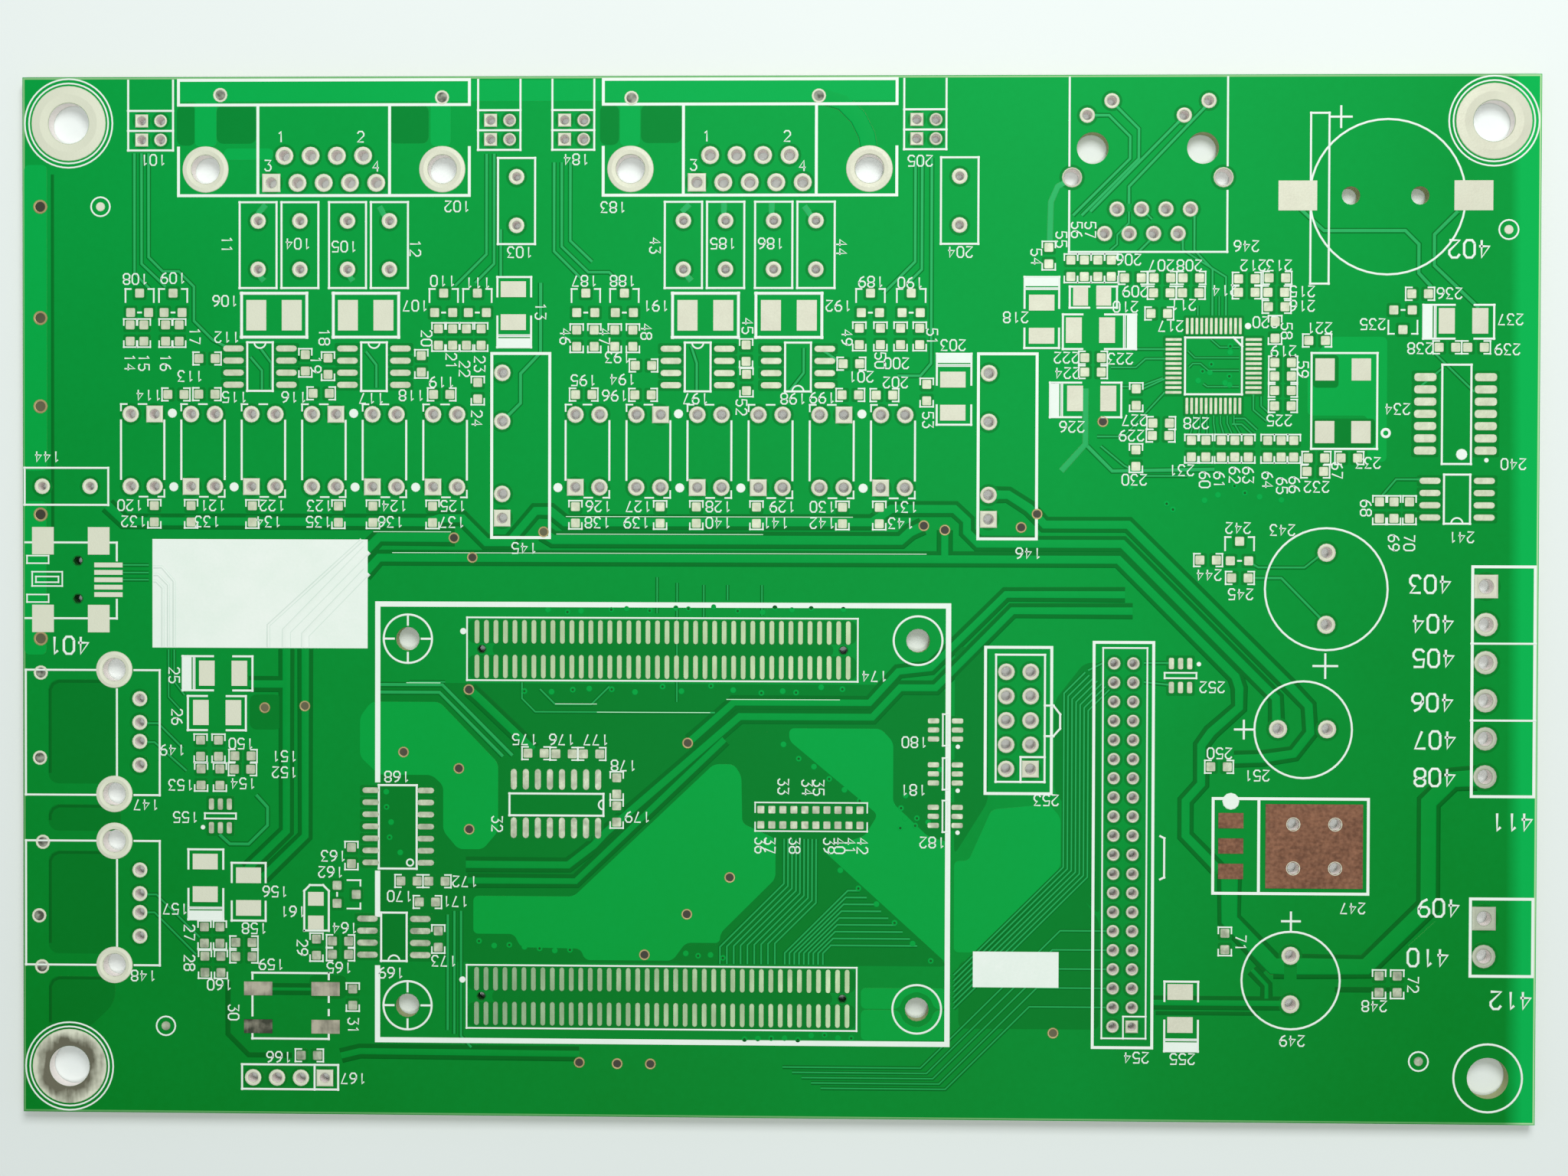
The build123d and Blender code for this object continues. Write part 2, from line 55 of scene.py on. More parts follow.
class Signal:
    """A number that a shader works out: arithmetic on it adds Math nodes."""

    def __init__(self, paint, socket):
        self.paint = paint
        self.socket = socket

    def math(self, operation, first, second):
        return self.paint.add("ShaderNodeMath", {"operation": operation}, {0: first, 1: second})

    def __add__(self, other):
        return self.math("ADD", self, other)

    def __radd__(self, other):
        return self.math("ADD", other, self)

    def __sub__(self, other):
        return self.math("SUBTRACT", self, other)

    def __rsub__(self, other):
        return self.math("SUBTRACT", other, self)

    def __mul__(self, other):
        return self.math("MULTIPLY", self, other)

    def __gt__(self, other):
        return self.math("GREATER_THAN", self, other)


class Paint:
    """One finish: a material, its shader, and a method that adds any other node."""

    def __init__(self, name):
        self.material = bpy.data.materials.new(name)
        self.material.use_nodes = True
        self.tree = self.material.node_tree
        self.shader = self.tree.nodes["Principled BSDF"]

    def add(self, kind, settings, inputs, output=0):
        node = self.tree.nodes.new(kind)
        for key, value in settings.items():
            setattr(node, key, value)
        for key, value in inputs.items():
            self.feed(node.inputs[key], value)
        return Signal(self, node.outputs[output])

    def feed(self, socket, value):
        if isinstance(value, Signal):
            self.tree.links.new(value.socket, socket)
        else:
            socket.default_value = value

    def set(self, **values):
        for key, value in values.items():
            self.feed(self.shader.inputs[key.replace("_", " ")], value)
        return self.material

    def place(self):
        return self.add("ShaderNodeTexCoord", {}, {}, "Object")

    def along(self, axis, vector=None):
        return self.add("ShaderNodeSeparateXYZ", {}, {"Vector": vector or self.place()}, axis)

    def level(self, limit):
        """One on faces that lie flat, nought on upright walls."""
        height = self.along("Z", self.add("ShaderNodeNewGeometry", {}, {}, "Normal"))
        return height * height > limit

    def noise(self, scale, detail=2.0, stretch=(1.0, 1.0, 1.0)):
        place = self.add("ShaderNodeMapping", {}, {"Vector": self.place(), "Scale": stretch})
        settings = {"Vector": place, "Scale": scale, "Detail": detail}
        return self.add("ShaderNodeTexNoise", {}, settings, "Fac")

    def blend(self, share, first, second):
        return self.add("ShaderNodeMix", {"data_type": "RGBA"}, {"Factor": share, 6: first, 7: second}, 2)

    def clip(self, signal):
        return self.add("ShaderNodeClamp", {}, {"Value": signal})

    def bump(self, height, strength, distance):
        return self.add("ShaderNodeBump", {}, {"Height": height, "Strength": strength, "Distance": distance})


def shape(name, bm):
    """Keep a bmesh as a mesh."""
    mesh = bpy.data.meshes.new(name)
    bm.to_mesh(mesh)
    bm.free()
    return mesh


def put(name, bm, material, slot):
    """Make a finished piece of a bmesh that is drawn in millimetres, and fix it to the board."""
    bmesh.ops.scale(bm, vec=(MM, MM, MM), verts=bm.verts)
    mesh = shape(name, bm)
    mesh.materials.append(material)
    piece = bpy.data.objects.new(name, mesh)
    bpy.context.scene.collection.objects.link(piece)
    if slot:
        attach(piece, "root")
    return piece


table = Paint("pale_table")
table.set(Base_Color=table.blend(table.noise(14.0), (0.74, 0.79, 0.77, 1), (0.80, 0.85, 0.83, 1)), Roughness=0.75)
bm = bmesh.new()
bmesh.ops.create_grid(bm, x_segments=1, y_segments=1, size=TABLE_HALF)
bmesh.ops.translate(bm, vec=(0, 0, -2 * UNDERSIDE_RISE), verts=bm.verts)
put("table_top", bm, table.material, None)

world = bpy.data.worlds.new("soft_room")
world.use_nodes = True
room_light = world.node_tree.nodes["Background"].inputs
room_light["Color"].default_value = (0.93, 1.0, 0.98, 1)
room_light["Strength"].default_value = 0.36
bpy.context.scene.world = world
for lamp_name, lamp_place, lamp_size, lamp_power in (
    ("window_light", (0.06, 0.225, 0.34), 0.18, 1.02),
    ("fill_light", (0.048, -0.170, 0.90), 0.12, 2.0),
):
    lamp = bpy.data.lights.new(lamp_name, "AREA")
    lamp.size = lamp_size
    lamp.energy = lamp_power
    lamp_object = bpy.data.objects.new(lamp_name, lamp)
    lamp_object.location = lamp_place
    lamp_object.rotation_euler = Vector(lamp_place).to_track_quat("Z", "Y").to_euler()
    bpy.context.scene.collection.objects.link(lamp_object)

camera = bpy.data.cameras.new("camera")
camera.sensor_width = 36.0
camera.lens = 50.0
camera_object = bpy.data.objects.new("camera", camera)
camera_object.location = (6.6 * MM, 3.95 * MM, 229.54 * MM)
camera_object.rotation_euler = (math.radians(-0.712), math.radians(1.407), math.radians(0.172))
bpy.context.scene.collection.objects.link(camera_object)
bpy.context.scene.camera = camera_object
bpy.context.scene.view_settings.view_transform = "Standard"

# Laminate: a sheet of glass cloth and epoxy, coated on both faces with green solder mask.
# The mask is a glossy film; the sawn edges and the bare hole walls show the pale fibre.
FIBRE, SHADED_FIBRE = (0.50, 0.52, 0.30, 1), (0.34, 0.37, 0.18, 1)


def mask_finish(name, dark, light):
    """Mask between two greens on faces that lie flat, and glass fibre on the walls.

    The tone rises towards the far edge, falls off to the right, and is light in the last strip there: this is painted
    light, a brightness gradient painted into the green.
    """
    paint = Paint(name)
    drift, grain = paint.noise(38.0), paint.noise(1500.0)
    across, along = paint.along("X"), paint.along("Y")
    # Painted light: a brightness gradient across the board and a light strip at the right edge, painted into the
    # green.
    painted_edge_light, painted_light_falloff = paint.clip(across * 500.0 - 38.1), paint.clip(across * 25.0 - 0.75)
    painted_light_slope = 0.36 + along * 3.8 + across * 1.7 - painted_light_falloff * 0.26 + painted_edge_light * 0.9
    green = paint.blend(paint.clip(painted_light_slope + drift * 0.16 + grain * 0.08), dark, light)
    wall = paint.blend(paint.noise(900.0, 1.0, (0.05, 0.05, 6.0)), FIBRE, SHADED_FIBRE)
    flat = paint.level(0.2)
    return paint.set(
        Base_Color=paint.blend(flat, wall, green),
        Roughness=0.62 - flat * (0.16 - drift * 0.12),
        Normal=paint.bump(grain + drift * 0.5, 0.12, 0.00004),
        Specular_IOR_Level=0.05,
    )


def dress(nodes, material):
    """Give pieces of the CAD part their finish."""
    for node in nodes:
        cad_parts[node].data.materials.clear()
        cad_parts[node].data.materials.append(material)


plain_mask = mask_finish("green_mask", (0.000, 0.160, 0.006, 1), (0.001, 0.420, 0.074, 1))
copper_mask = mask_finish("mask_over_copper", (0.000, 0.280, 0.020, 1), (0.001, 0.450, 0.095, 1))
wide_mask = mask_finish("mask_over_wide_tracks", (0.000, 0.205, 0.012, 1), (0.001, 0.440, 0.086, 1))
moat_mask = mask_finish("mask_over_fibre", (0.000, 0.100, 0.005, 1), (0.001, 0.220, 0.034, 1))
bare_mask = mask_finish("mask_over_bare_area", (0.000, 0.150, 0.008, 1), (0.001, 0.270, 0.045, 1))
# Over the fine tracks the mask is lighter: the copper lightens it, and its extra whiteness is painted highlight.
track_mask = mask_finish("mask_over_tracks", (0.004, 0.285, 0.048, 1), (0.040, 0.500, 0.160, 1))
# A near-white green that paints the glints along the upper edges of tracks.
glint_mask_painted = mask_finish("painted_glints", (0.42, 0.74, 0.48, 1), (0.76, 0.95, 0.78, 1))
# A pale green that paints the highlight on the edge of the board.
edge_highlight_mask = mask_finish("painted_edge_highlight", (0.05, 0.28, 0.06, 1), (0.40, 0.66, 0.34, 1))
dress(["laminate"], plain_mask)

# Copper under the mask: etched tracks and poured areas that lift the mask a little and lighten it.
# A dark moat of bare laminate is etched round each wide track and each pour.
# Heights over the laminate. Neighbours of one kind take turns in five layers, so no two faces coincide.
BARE_RISE, MOAT_RISE, POUR_RISE, TRACK_RISE = 0.003, 0.006, 0.012, 0.018
LAYERS, RIBBON_STEP, SHEET_STEP = 5, 0.0006, 0.0005
SUNK = 0.01
FOOT = BOARD_TOP - SUNK
HOLE_MARGIN = 0.1


def drilled_holes():
    """Centre, half width and number of sides of each hole through the laminate, in millimetres."""
    bm = bmesh.new()
    bm.from_mesh(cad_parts["laminate"].data)
    bmesh.ops.remove_doubles(bm, verts=bm.verts, dist=1e-6)
    rim = {}
    for edge in bm.edges:
        ends = edge.verts
        if min(v.co.z for v in ends) / MM > FOOT:
            if min(abs(face.normal.z) for face in edge.link_faces) < 0.5:
                for vertex, other in (tuple(ends), tuple(ends)[::-1]):
                    rim.setdefault(vertex, []).append(other)
    holes, seen = [], set()
    for first in rim:
        if first in seen:
            continue
        ring, heap = [], [first]
        while heap:
            vertex = heap.pop()
            if vertex not in seen:
                seen.add(vertex)
                ring.append(vertex.co.copy())
                heap += rim[vertex]
        centre = sum(ring, Vector()) / len(ring)
        reach = max((co - centre).length for co in ring) / MM
        if reach < 5:
            holes.append((centre.x / MM, centre.y / MM, reach * math.cos(math.pi / len(ring)), len(ring)))
    bm.free()
    return holes


HOLES = drilled_holes()


def off_holes(points, width):
    """The stretches of a run that keep clear of the drilled holes."""
    parts, part = [], [points[0]]
    for (x0, y0), (x1, y1) in zip(points, points[1:]):
        length = math.hypot(x1 - x0, y1 - y0)
        ux, uy = (x1 - x0) / length, (y1 - y0) / length
        cuts = [((x - x0) * ux + (y - y0) * uy, half) for x, y, half, sides in HOLES
                if abs((x - x0) * uy - (y - y0) * ux) < half + width / 2]
        for along, half in sorted(cuts):
            enter, leave = along - half - HOLE_MARGIN, along + half + HOLE_MARGIN
            if leave > 0 and enter < length:
                if part and enter > 0:
                    part.append((x0 + ux * enter, y0 + uy * enter))
                parts.append(part)
                part = [(x0 + ux * leave, y0 + uy * leave)] if leave < length else []
        if part:
            part.append((x1, y1))
    return [part for part in parts + [part] if len(part) > 1]


def ribbons(name, runs, rise, material, slot):
    """Flat ribbons of one height along runs, each of them points, a width and whether it closes."""
    bm = bmesh.new()
    for layer in range(min(LAYERS, len(runs))):
        curve = bpy.data.curves.new(name, "CURVE")
        curve.dimensions = "3D"
        curve.twist_mode = "Z_UP"
        curve.bevel_depth = 1.0
        curve.bevel_resolution = 2
        curve.use_fill_caps = True
        for points, width, closed in runs[layer::LAYERS]:
            spline = curve.splines.new("POLY")
            spline.points.add(len(points) - 1)
            spline.use_cyclic_u = closed
            for spot, (x, y) in zip(spline.points, points):
                spot.co = (x, y, 0, 1)
                spot.radius = width / 2
        draft = bpy.data.objects.new(name, curve)
        mesh = bpy.data.meshes.new_from_object(draft)
        before = len(bm.verts)
        bm.from_mesh(mesh)
        bpy.data.objects.remove(draft)
        bpy.data.curves.remove(curve)
        bpy.data.meshes.remove(mesh)
        bm.verts.ensure_lookup_table()
        for vertex in bm.verts[before:]:
            vertex.co.z = BOARD_TOP + (rise + RIBBON_STEP * layer if vertex.co.z > 0.02 else -SUNK)
    return put(name, bm, material, slot)


def sheets(name, outlines, rise, corner, material, slot):
    """Thin plates with rounded corners, one for each outline."""
    bm = bmesh.new()
    for outline in outlines:
        corners = [bm.verts.new((x, y, FOOT)) for x, y in outline]
        bm.faces.new(corners)
        bmesh.ops.bevel(bm, geom=corners, affect="VERTICES", offset=corner, segments=4, profile=0.5, material=-1)
    for layer, face in enumerate(bm.faces[:]):
        risen = bmesh.ops.extrude_face_region(bm, geom=[face])["geom"]
        lift = rise + SUNK + SHEET_STEP * (layer % LAYERS)
        bmesh.ops.translate(bm, vec=(0, 0, lift), verts=[v for v in risen if isinstance(v, bmesh.types.BMVert)])
    bmesh.ops.recalc_face_normals(bm, faces=bm.faces)
    return put(name, bm, material, slot)


def rectangle(left, low, right, high):
    return [(left, low), (right, low), (right, high), (left, high)]


pours = [
    [(-43.6, -12.6), (-42.4, -11), (-35.2, -11), (-29, -17.4), (-29, -24.6), (-30.6, -26.5), (-33.2, -26.5),
     (-34.8, -24.6), (-34.8, -19.8), (-36, -18.7), (-41.6, -18.7), (-43.6, -16.8)],
    [(1.6, -13.6), (11.2, -13.6), (12.5, -15), (12.5, -21.4), (16.2, -24.9), (18.2, -25.4), (18.2, -38.2),
     (5.2, -26.4), (9.6, -24.8), (10.9, -22.6), (1.6, -14.9)],
    [(-31.6, -31.4), (-21, -31.4), (-6.3, -17.4), (-4.2, -17.4), (-3.4, -18.6), (-3.3, -23.6), (0.2, -25.2),
     (0.2, -29.4), (-5.6, -35.2), (-5.6, -36.2), (-9.2, -36.2), (-10.6, -38.1), (-19.8, -38.1), (-20.3, -36.9),
     (-26.6, -36.8), (-27.3, -35.4), (-31.6, -35.4)],
    [(20.4, -27.4), (22.8, -22), (28.8, -21.4), (30, -22.8), (30, -28), (21, -37), (18.9, -37), (18.9, -27.4)],
    [(55.4, 24.6), (57.8, 27.4), (63.6, 27.4), (63.6, 14.4), (61.6, 14.4), (61.6, 19.2), (55.4, 19.2)],
    # These two pours round the lower right hole of the core cover a glare; their lighter tone there paints a
    # highlight.
    [(9.2, -40.8), (18.1, -40.8), (18.1, -43), (16.95, -43), (16.4, -41.7), (15.05, -41.1), (13.7, -41.7),
     (13.15, -43), (9.2, -43)],
    [(9.2, -43.1), (13.15, -43.1), (13.7, -44.4), (15.05, -45), (16.4, -44.4), (16.95, -43.1), (18.1, -43.1),
     (18.1, -46.3), (9.2, -46.3)], rectangle(-79.2, 13.2, -76.8, 45.4), rectangle(-79.2, -6.2, -76.9, 10),
    rectangle(-63, 52, 12.8, 54.2), rectangle(-61.1, 47.3, -58.8, 52.4), rectangle(-36.2, 47.3, -34.1, 52.4),
    rectangle(-16.3, 47.3, -14.2, 52.4), rectangle(-58, 45.9, -52.8, 47.1),
]
sheets("poured_copper", pours, POUR_RISE, 0.5, copper_mask, "green_mask")
under_ports = [
    rectangle(-76.7, -19.8, -69.6, -8.8), rectangle(-76.7, -24.8, -69, -22), rectangle(-76.7, -37.8, -69.6, -26.9),
    [(-76.7, -40.2), (-69.6, -40.2), (-69.6, -43), (-73, -46.2), (-76.7, -46.2)],
]
sheets("areas_under_ports", under_ports, BARE_RISE, 1.1, bare_mask, "green_mask")
under_crystal = [rectangle(55.95, 22.1, 58.6, 25.5), rectangle(55.95, 15.95, 62.4, 18.9)]
sheets("areas_under_crystal", under_crystal, POUR_RISE + 0.004, 0.4, bare_mask, "green_mask")
core_area = [rectangle(-41.6, -38.4, 17.9, -9)]
sheets("core_area", core_area, BARE_RISE - 0.002, 1.0, bare_mask, "green_mask")
bare = [
    [(-32.6, -35.6), (-27.2, -35.6), (-26.4, -36.9), (-20.2, -36.9), (-20.2, -38.5), (-32.6, -38.5)],
    [(-10.4, -38.5), (-9.2, -36.4), (-5.2, -36.4), (-5.2, -38.5)], rectangle(-55.3, -14, -51.9, -10.3),
    [(12.7, -14.2), (18.2, -14.2), (18.2, -24.4), (16.4, -24.4), (12.7, -21.2)],
    [(-3, -14), (1, -14), (10, -21.2), (10, -24.6), (-2, -24.6), (-3, -23.4)],
    [(0.6, -25), (5.2, -25.8), (18.3, -38.5), (-4.8, -38.5), (-4.8, -36), (0.6, -29.6)],
    [(-28.4, -17.2), (-18.6, -17.2), (-15.6, -20), (-15.6, -22), (-20.6, -27), (-31, -27.2), (-28.4, -24.4)],
    rectangle(-63, 47.4, -61, 51.6), rectangle(-58.8, 47.6, -54.6, 51.6), rectangle(-40.6, 47.6, -36.4, 51.6),
    rectangle(-18.4, 47.4, -16.4, 51.6), rectangle(-14.1, 47.6, -9.8, 51.6), rectangle(-49, -42.4, -45, -39.9),
    rectangle(-32.2, -4.8, 8.6, -2.3), rectangle(-32.2, -8.55, 8.6, -6.05), rectangle(-29.6, -6.15, 6.2, -4.7),
    rectangle(-32.2, -41.35, 8.6, -38.85), rectangle(-32.2, -45.2, 8.6, -42.6), rectangle(-29.6, -42.7, 6.2, -41.25),
    [(18.9, -5), (22.4, -5), (22.4, -21.2), (18.9, -26.8)],
    [(29.3, -10.6), (32.4, -6.6), (34.1, -6.6), (34.1, -33), (30.4, -29.5), (30.4, -21.5), (29.3, -20)],
    [(22, -37.6), (30.6, -28.8), (34.1, -33.6), (34.1, -45), (19.4, -45), (19.4, -38)],
]
sheets("bare_laminate", bare, BARE_RISE, 0.7, bare_mask, "green_mask")

wide_tracks = [
    ([(-70.4, 9.6), (-68.6, 7.9), (-36.4, 7.9), (-35.2, 8.3), (-32.8, 8.3), (-30.3, 5.8), (-27.9, 5.8), (-25.1, 9.1),
     (-23.5, 9.1), (-22, 7.9), (10.2, 8), (12.2, 9.4), (18.8, 9.4), (20.1, 8.2), (20.1, 7), (21.3, 5.8), (36.3, 5.8),
     (52.3, -10.2), (52.4, -13.2)], 1.1), ([(-43.2, 4.7), (-41.6, 6.3), (-33.6, 6.3)], 1.2),
    ([(-24.3, 6.8), (-23.2, 6.1), (13.2, 6.1), (14.2, 7), (15.5, 7.6)], 1.2),
    ([(-43.2, 2.4), (-41.6, 4.15), (35.9, 4.15), (48.1, -8), (48.5, -9.2), (48.5, -11.2), (45.6, -13.8),
     (44.6, -15.2), (44.6, -19.2), (43, -21), (43, -24.6), (46.4, -28.1)], 1.1), ([(17.8, 7.2), (17.8, 4.3)], 0.9),
    ([(22.4, 10.9), (24.4, 10.9), (26.6, 9.5), (28.2, 7.8), (36.9, 7.8), (53.8, -9), (55.7, -11), (55.9, -13.8),
     (54.2, -16), (51, -16.5), (48, -16.6)], 1.1),
    ([(36.6, 0.5), (24.2, 0.5), (16.4, -7.2), (13, -7.6), (10, -10.9), (-4.2, -10.9), (-8.8, -15)], 0.9),
    ([(37.4, -1.2), (24.9, -1.2), (16.9, -9.3), (13.2, -9.3), (10.3, -12.4), (-3.6, -12.4), (-17.6, -24.6),
     (-18.9, -26), (-21.6, -28.1), (-32.4, -28.1)], 0.95), ([(-5.2, -14.8), (-20.8, -29.8), (-32.2, -29.8)], 0.8),
    ([(-32, -9.7), (-31, -10.6), (-25.3, -16)], 1), ([(-51.4, -5.5), (-51.4, -24.7), (-55.6, -28.8)], 1),
    ([(-49.4, -5.5), (-49.4, -25.2), (-53.9, -29.6)], 0.95), ([(-55.4, -9.2), (-51.6, -9.2)], 0.95),
    ([(73.6, -18.4), (70.6, -18.6), (68.2, -21), (68.2, -31.8), (61.8, -38.2), (52.2, -38.2), (47.6, -33.4),
     (47.6, -28.6)], 2.1), ([(53.9, -42.1), (39.6, -42.1)], 0.7), ([(50, -38.6), (51.5, -40.2), (51.5, -41.6)], 0.5),
    ([(-53, -41.4), (-48.8, -41.4)], 0.4), ([(-45.6, -48.4), (-43.6, -47.9), (-20.4, -48)], 0.8),
]
plain_tracks = [
    ([(4.5, 52.6), (7, 51.8), (8.6, 50.2), (9.5, 48.4), (9.7, 47.2)], 2), ([(66.2, -36), (69, -33.4)], 0.12),
]
# Dark lines in the moat tone: the line through the relay lands and the loops on the top and left inner edges of the
# areas under the ports are painted shadow.
dark_lines = [
    ([(-57.6, -40.6), (-57.6, -46.2), (-55.4, -48.4), (-50.8, -48.4)], 0.7), ([(58.6, -40.6), (65.6, -40.6)], 0.7),
    ([(40, -43.2), (50.6, -43.2)], 0.5), ([(-76.2, 5.8), (-76.2, 44.4)], 0.4),
    *(([(-69.8, top - 0.2), (-75.6, top - 0.2), (-76.2, top - 0.5), (-76.5, top - 1.1), (-76.5, low + 1.1)],
     0.4) for top, low in ((-8.8, -19.8), (-22, -24.8), (-26.9, -37.8), (-40.2, -46.2))),
]
track_groups = [
    (0.7, [[(30.9, 43.9), (29.4, 43), (28.7, 41.4), (28.6, 37.4)]]),
    (0.44, [
        [(54.4, 40.8), (57, 38.4), (65.4, 38.4), (66.8, 37), (66.8, 34), (68.1, 32.6)],
        [(70.8, 40.4), (68.4, 38), (68.4, 34.8), (73, 30.4)],
    ]),
    (0.7, [[(32.4, 22), (32.4, 16.2), (29.9, 13.4)]]),
    (0.44, [[(32.6, 16), (35.2, 13.4), (45.8, 13.6)]]),
    (0.4, [[(-28.6, 18.5), (-26.7, 20.4), (-26.7, 23.5), (-24.6, 25.7), (-24.6, 33)]]),
    (0.16, [
        [(45.4, 27.1), (46.3, 26.3), (48.3, 26.3)], [(43, 25.9), (43.7, 25.2), (48.3, 25.2)],
        [(43.1, 24.2), (43.5, 24.6), (44.3, 24.6), (45.1, 23.9), (48.3, 23.9)],
        [(44.6, 22.5), (45, 22.2), (48.3, 22.2)],
    ]),
    (0.2, [
        [(49.8, 21.4), (49.8, 19.8), (51.2, 18.6)], [(50.6, 21.2), (50.6, 20.2), (51.6, 19.3)],
        [(47.8, 18.9), (48.9, 18.9), (50.2, 17.7)], [(47.6, 18.3), (48.6, 18.3), (49.8, 17.2)],
        [(35, 24.2), (37.6, 24.2), (38.6, 25.1), (40.6, 25.1)], [(37.2, 26.1), (40.6, 26.1)],
        [(36.2, 22.2), (38, 22.2), (40.4, 23.1)], [(33.6, 17), (36.4, 17), (40.6, 21.6)],
        [(34, 16), (36.4, 14), (38.4, 12.9), (43, 12.9)], [(38.2, 21.9), (40.6, 23)],
    ]),
    (0.16, [[(44, 30.6), (44, 29.6)], [(46.2, 31.6), (46.2, 29.6)]]),
    (0.22, [[(36.8, 40.4), (36.8, 39.2), (35.6, 38), (35.6, 37), (34.9, 36.4)], [(38.2, 40.6), (39.2, 39.6)]]),
    (0.2, [[(-63.3, -5.6), (-63.3, -9), (-62.2, -10.4)], [(-63.9, -5.6), (-63.9, -10.6), (-62.6, -12)]]),
    (0.34, [
        [(-67.5, 46.6), (-67.5, 34), (-65.9, 32.4)], [(-66.75, 46.6), (-66.75, 35), (-64.2, 32.6)],
        [(-66, 46.6), (-66, 35.7), (-64.5, 34.2), (-62.8, 34.2), (-61.2, 32.6), (-61.2, 29), (-59.2, 27),
         (-57.6, 26.2)], [(-30.3, 46.5), (-30.3, 36), (-33.6, 32.7)], [(-29.5, 46.5), (-29.5, 35), (-31.5, 33)],
        [(-28.8, 38.6), (-28.8, 33.6)], [(-23.2, 45.6), (-23.2, 36.3), (-20.4, 33.5)],
        [(-22.4, 45.6), (-22.4, 36.8), (-19.6, 34.1), (-17.4, 34.1), (-16.3, 33)],
        [(-21.5, 45.6), (-21.5, 37.4), (-19.2, 35.2)], [(14.6, 46), (14.6, 35.2), (11.3, 31.9)],
        [(15.3, 46), (15.3, 34.4), (14, 33.1)], [(16.3, 46), (16.3, 24.6), (15.2, 23.3), (12.8, 23.3)],
        [(32.5, 50.4), (34.7, 50.4), (36.9, 48.2), (36.9, 45.9), (31, 40)],
        [(35, 51.8), (37.8, 49), (37.8, 45.9), (31.9, 40)], [(42.4, 50.2), (32.8, 40.4)],
        [(45, 51.6), (36.8, 43), (36.8, 41.2)],
    ]),
    (0.26, [
        [(43.6, 40.4), (43.6, 36.4), (45.5, 34.4), (45.5, 29.6)], [(39.4, 37.8), (37.4, 35.8)],
        [(42.4, 37.6), (42.4, 36.4), (46.9, 33.6), (46.9, 29.6)],
    ]),
    (0.25, [
        [(68.4, 25.8), (72.6, 21.7)], [(67, 22.2), (69.4, 24.2)], [(62.9, 10.6), (64.6, 12.6), (68, 12.6)],
        [(49.4, 4), (50.4, 3.4), (55.2, 3.4), (57.2, 5)],
    ]),
    (0.3, [[(49.6, 2.3), (52.8, 2.3), (57.2, -2.2)]]),
    (0.4, [
        [(-58.5, -25.1), (-57.4, -26.1), (-55.4, -26.1), (-53.4, -24.1), (-53.4, -22.2), (-54.6, -20.9)],
        [(-41.6, -9.2), (-34.9, -9.2), (-27.5, -16.6)], [(-41.6, -10), (-35.2, -10), (-28.5, -16.7)],
    ]),
    (0.18, [[(-38.4, -8.9), (-34.6, -8.9)]]),
    (0.2, [
        [(-26.5, -8.9), (-26.5, -10.6), (-25.1, -12), (-6.2, -12)], [(-23, -11.2), (-19.2, -11.2), (-17.3, -9.3)],
        [(-24.6, -9.6), (-23, -11.2)],
    ]),
    (0.16, [
        [(-10.2, 1.6), (-10.2, -1.4), (-10.2, -10.9)], [(-7.4, 1.4), (-7.4, -2)], [(-12.3, 2.2), (-12.3, -1.6)],
        [(-4.9, 1.4), (-4.9, -0.2)], [(-1.3, 1.4), (-1.3, -1.8)],
    ]),
    (0.3, [
        [(-32.9, -33), (-32.9, -46.2), (-31.8, -47.4)], [(-33.6, -33), (-33.6, -46)],
        [(-34.3, -33.4), (-34.3, -45.6)],
    ]),
    (0.2, [[(-68.8, 3.3), (-66, 3.3)], [(-68.8, 2.5), (-66, 2.5)], [(-68.8, 1.75), (-66, 1.75)]]),
    (0.25, [
        [(-66.8, -13.4), (-65, -13.4), (-62.4, -16)], [(-66.8, -15.4), (-65.4, -15.4), (-62, -18.4)],
        [(-66.8, -31.5), (-65.2, -31.5), (-60.6, -36)], [(-66.8, -33.4), (-65.4, -33.4), (-61, -37.8)],
    ]),
    (0.22, [[(38.6, -6.6), (41.6, -6.6)], [(38.6, -8.6), (41.5, -8.9)], [(34.4, -6.6), (32.8, -7.4)]]),
    (0.3, [
        [(-54.2, 26.2), (-53, 24.6), (-53, 22)], [(-55.2, 25.2), (-54, 23.8), (-54, 21.8)],
        [(-8.8, 26.4), (-8.2, 24.6), (-8.2, 21.8)], [(1.6, 21.8), (3, 23.6), (3, 26.2)],
        [(-43, 25.8), (-41.9, 24.4), (-41.9, 22)], [(4.6, 26.2), (7, 24.6)],
    ]),
    (0.7, [
        [(-9, 41.2), (-10.2, 40)], [(-5.4, 41.4), (-5.4, 39.6)], [(-0.4, 41.4), (-0.4, 39.6)], [(3, 41), (4, 39.6)],
        [(-53.6, 41.2), (-54.8, 39.8)], [(-41.6, 41), (-40.8, 39.6)], [(-54.8, 34.4), (-53.8, 33.2)],
        [(-45.2, 34.4), (-44.4, 33.2)], [(-9.8, 34.4), (-8.8, 33.2)],
    ]),
]
thin_tracks = [(points, width) for width, runs in track_groups for points in runs]
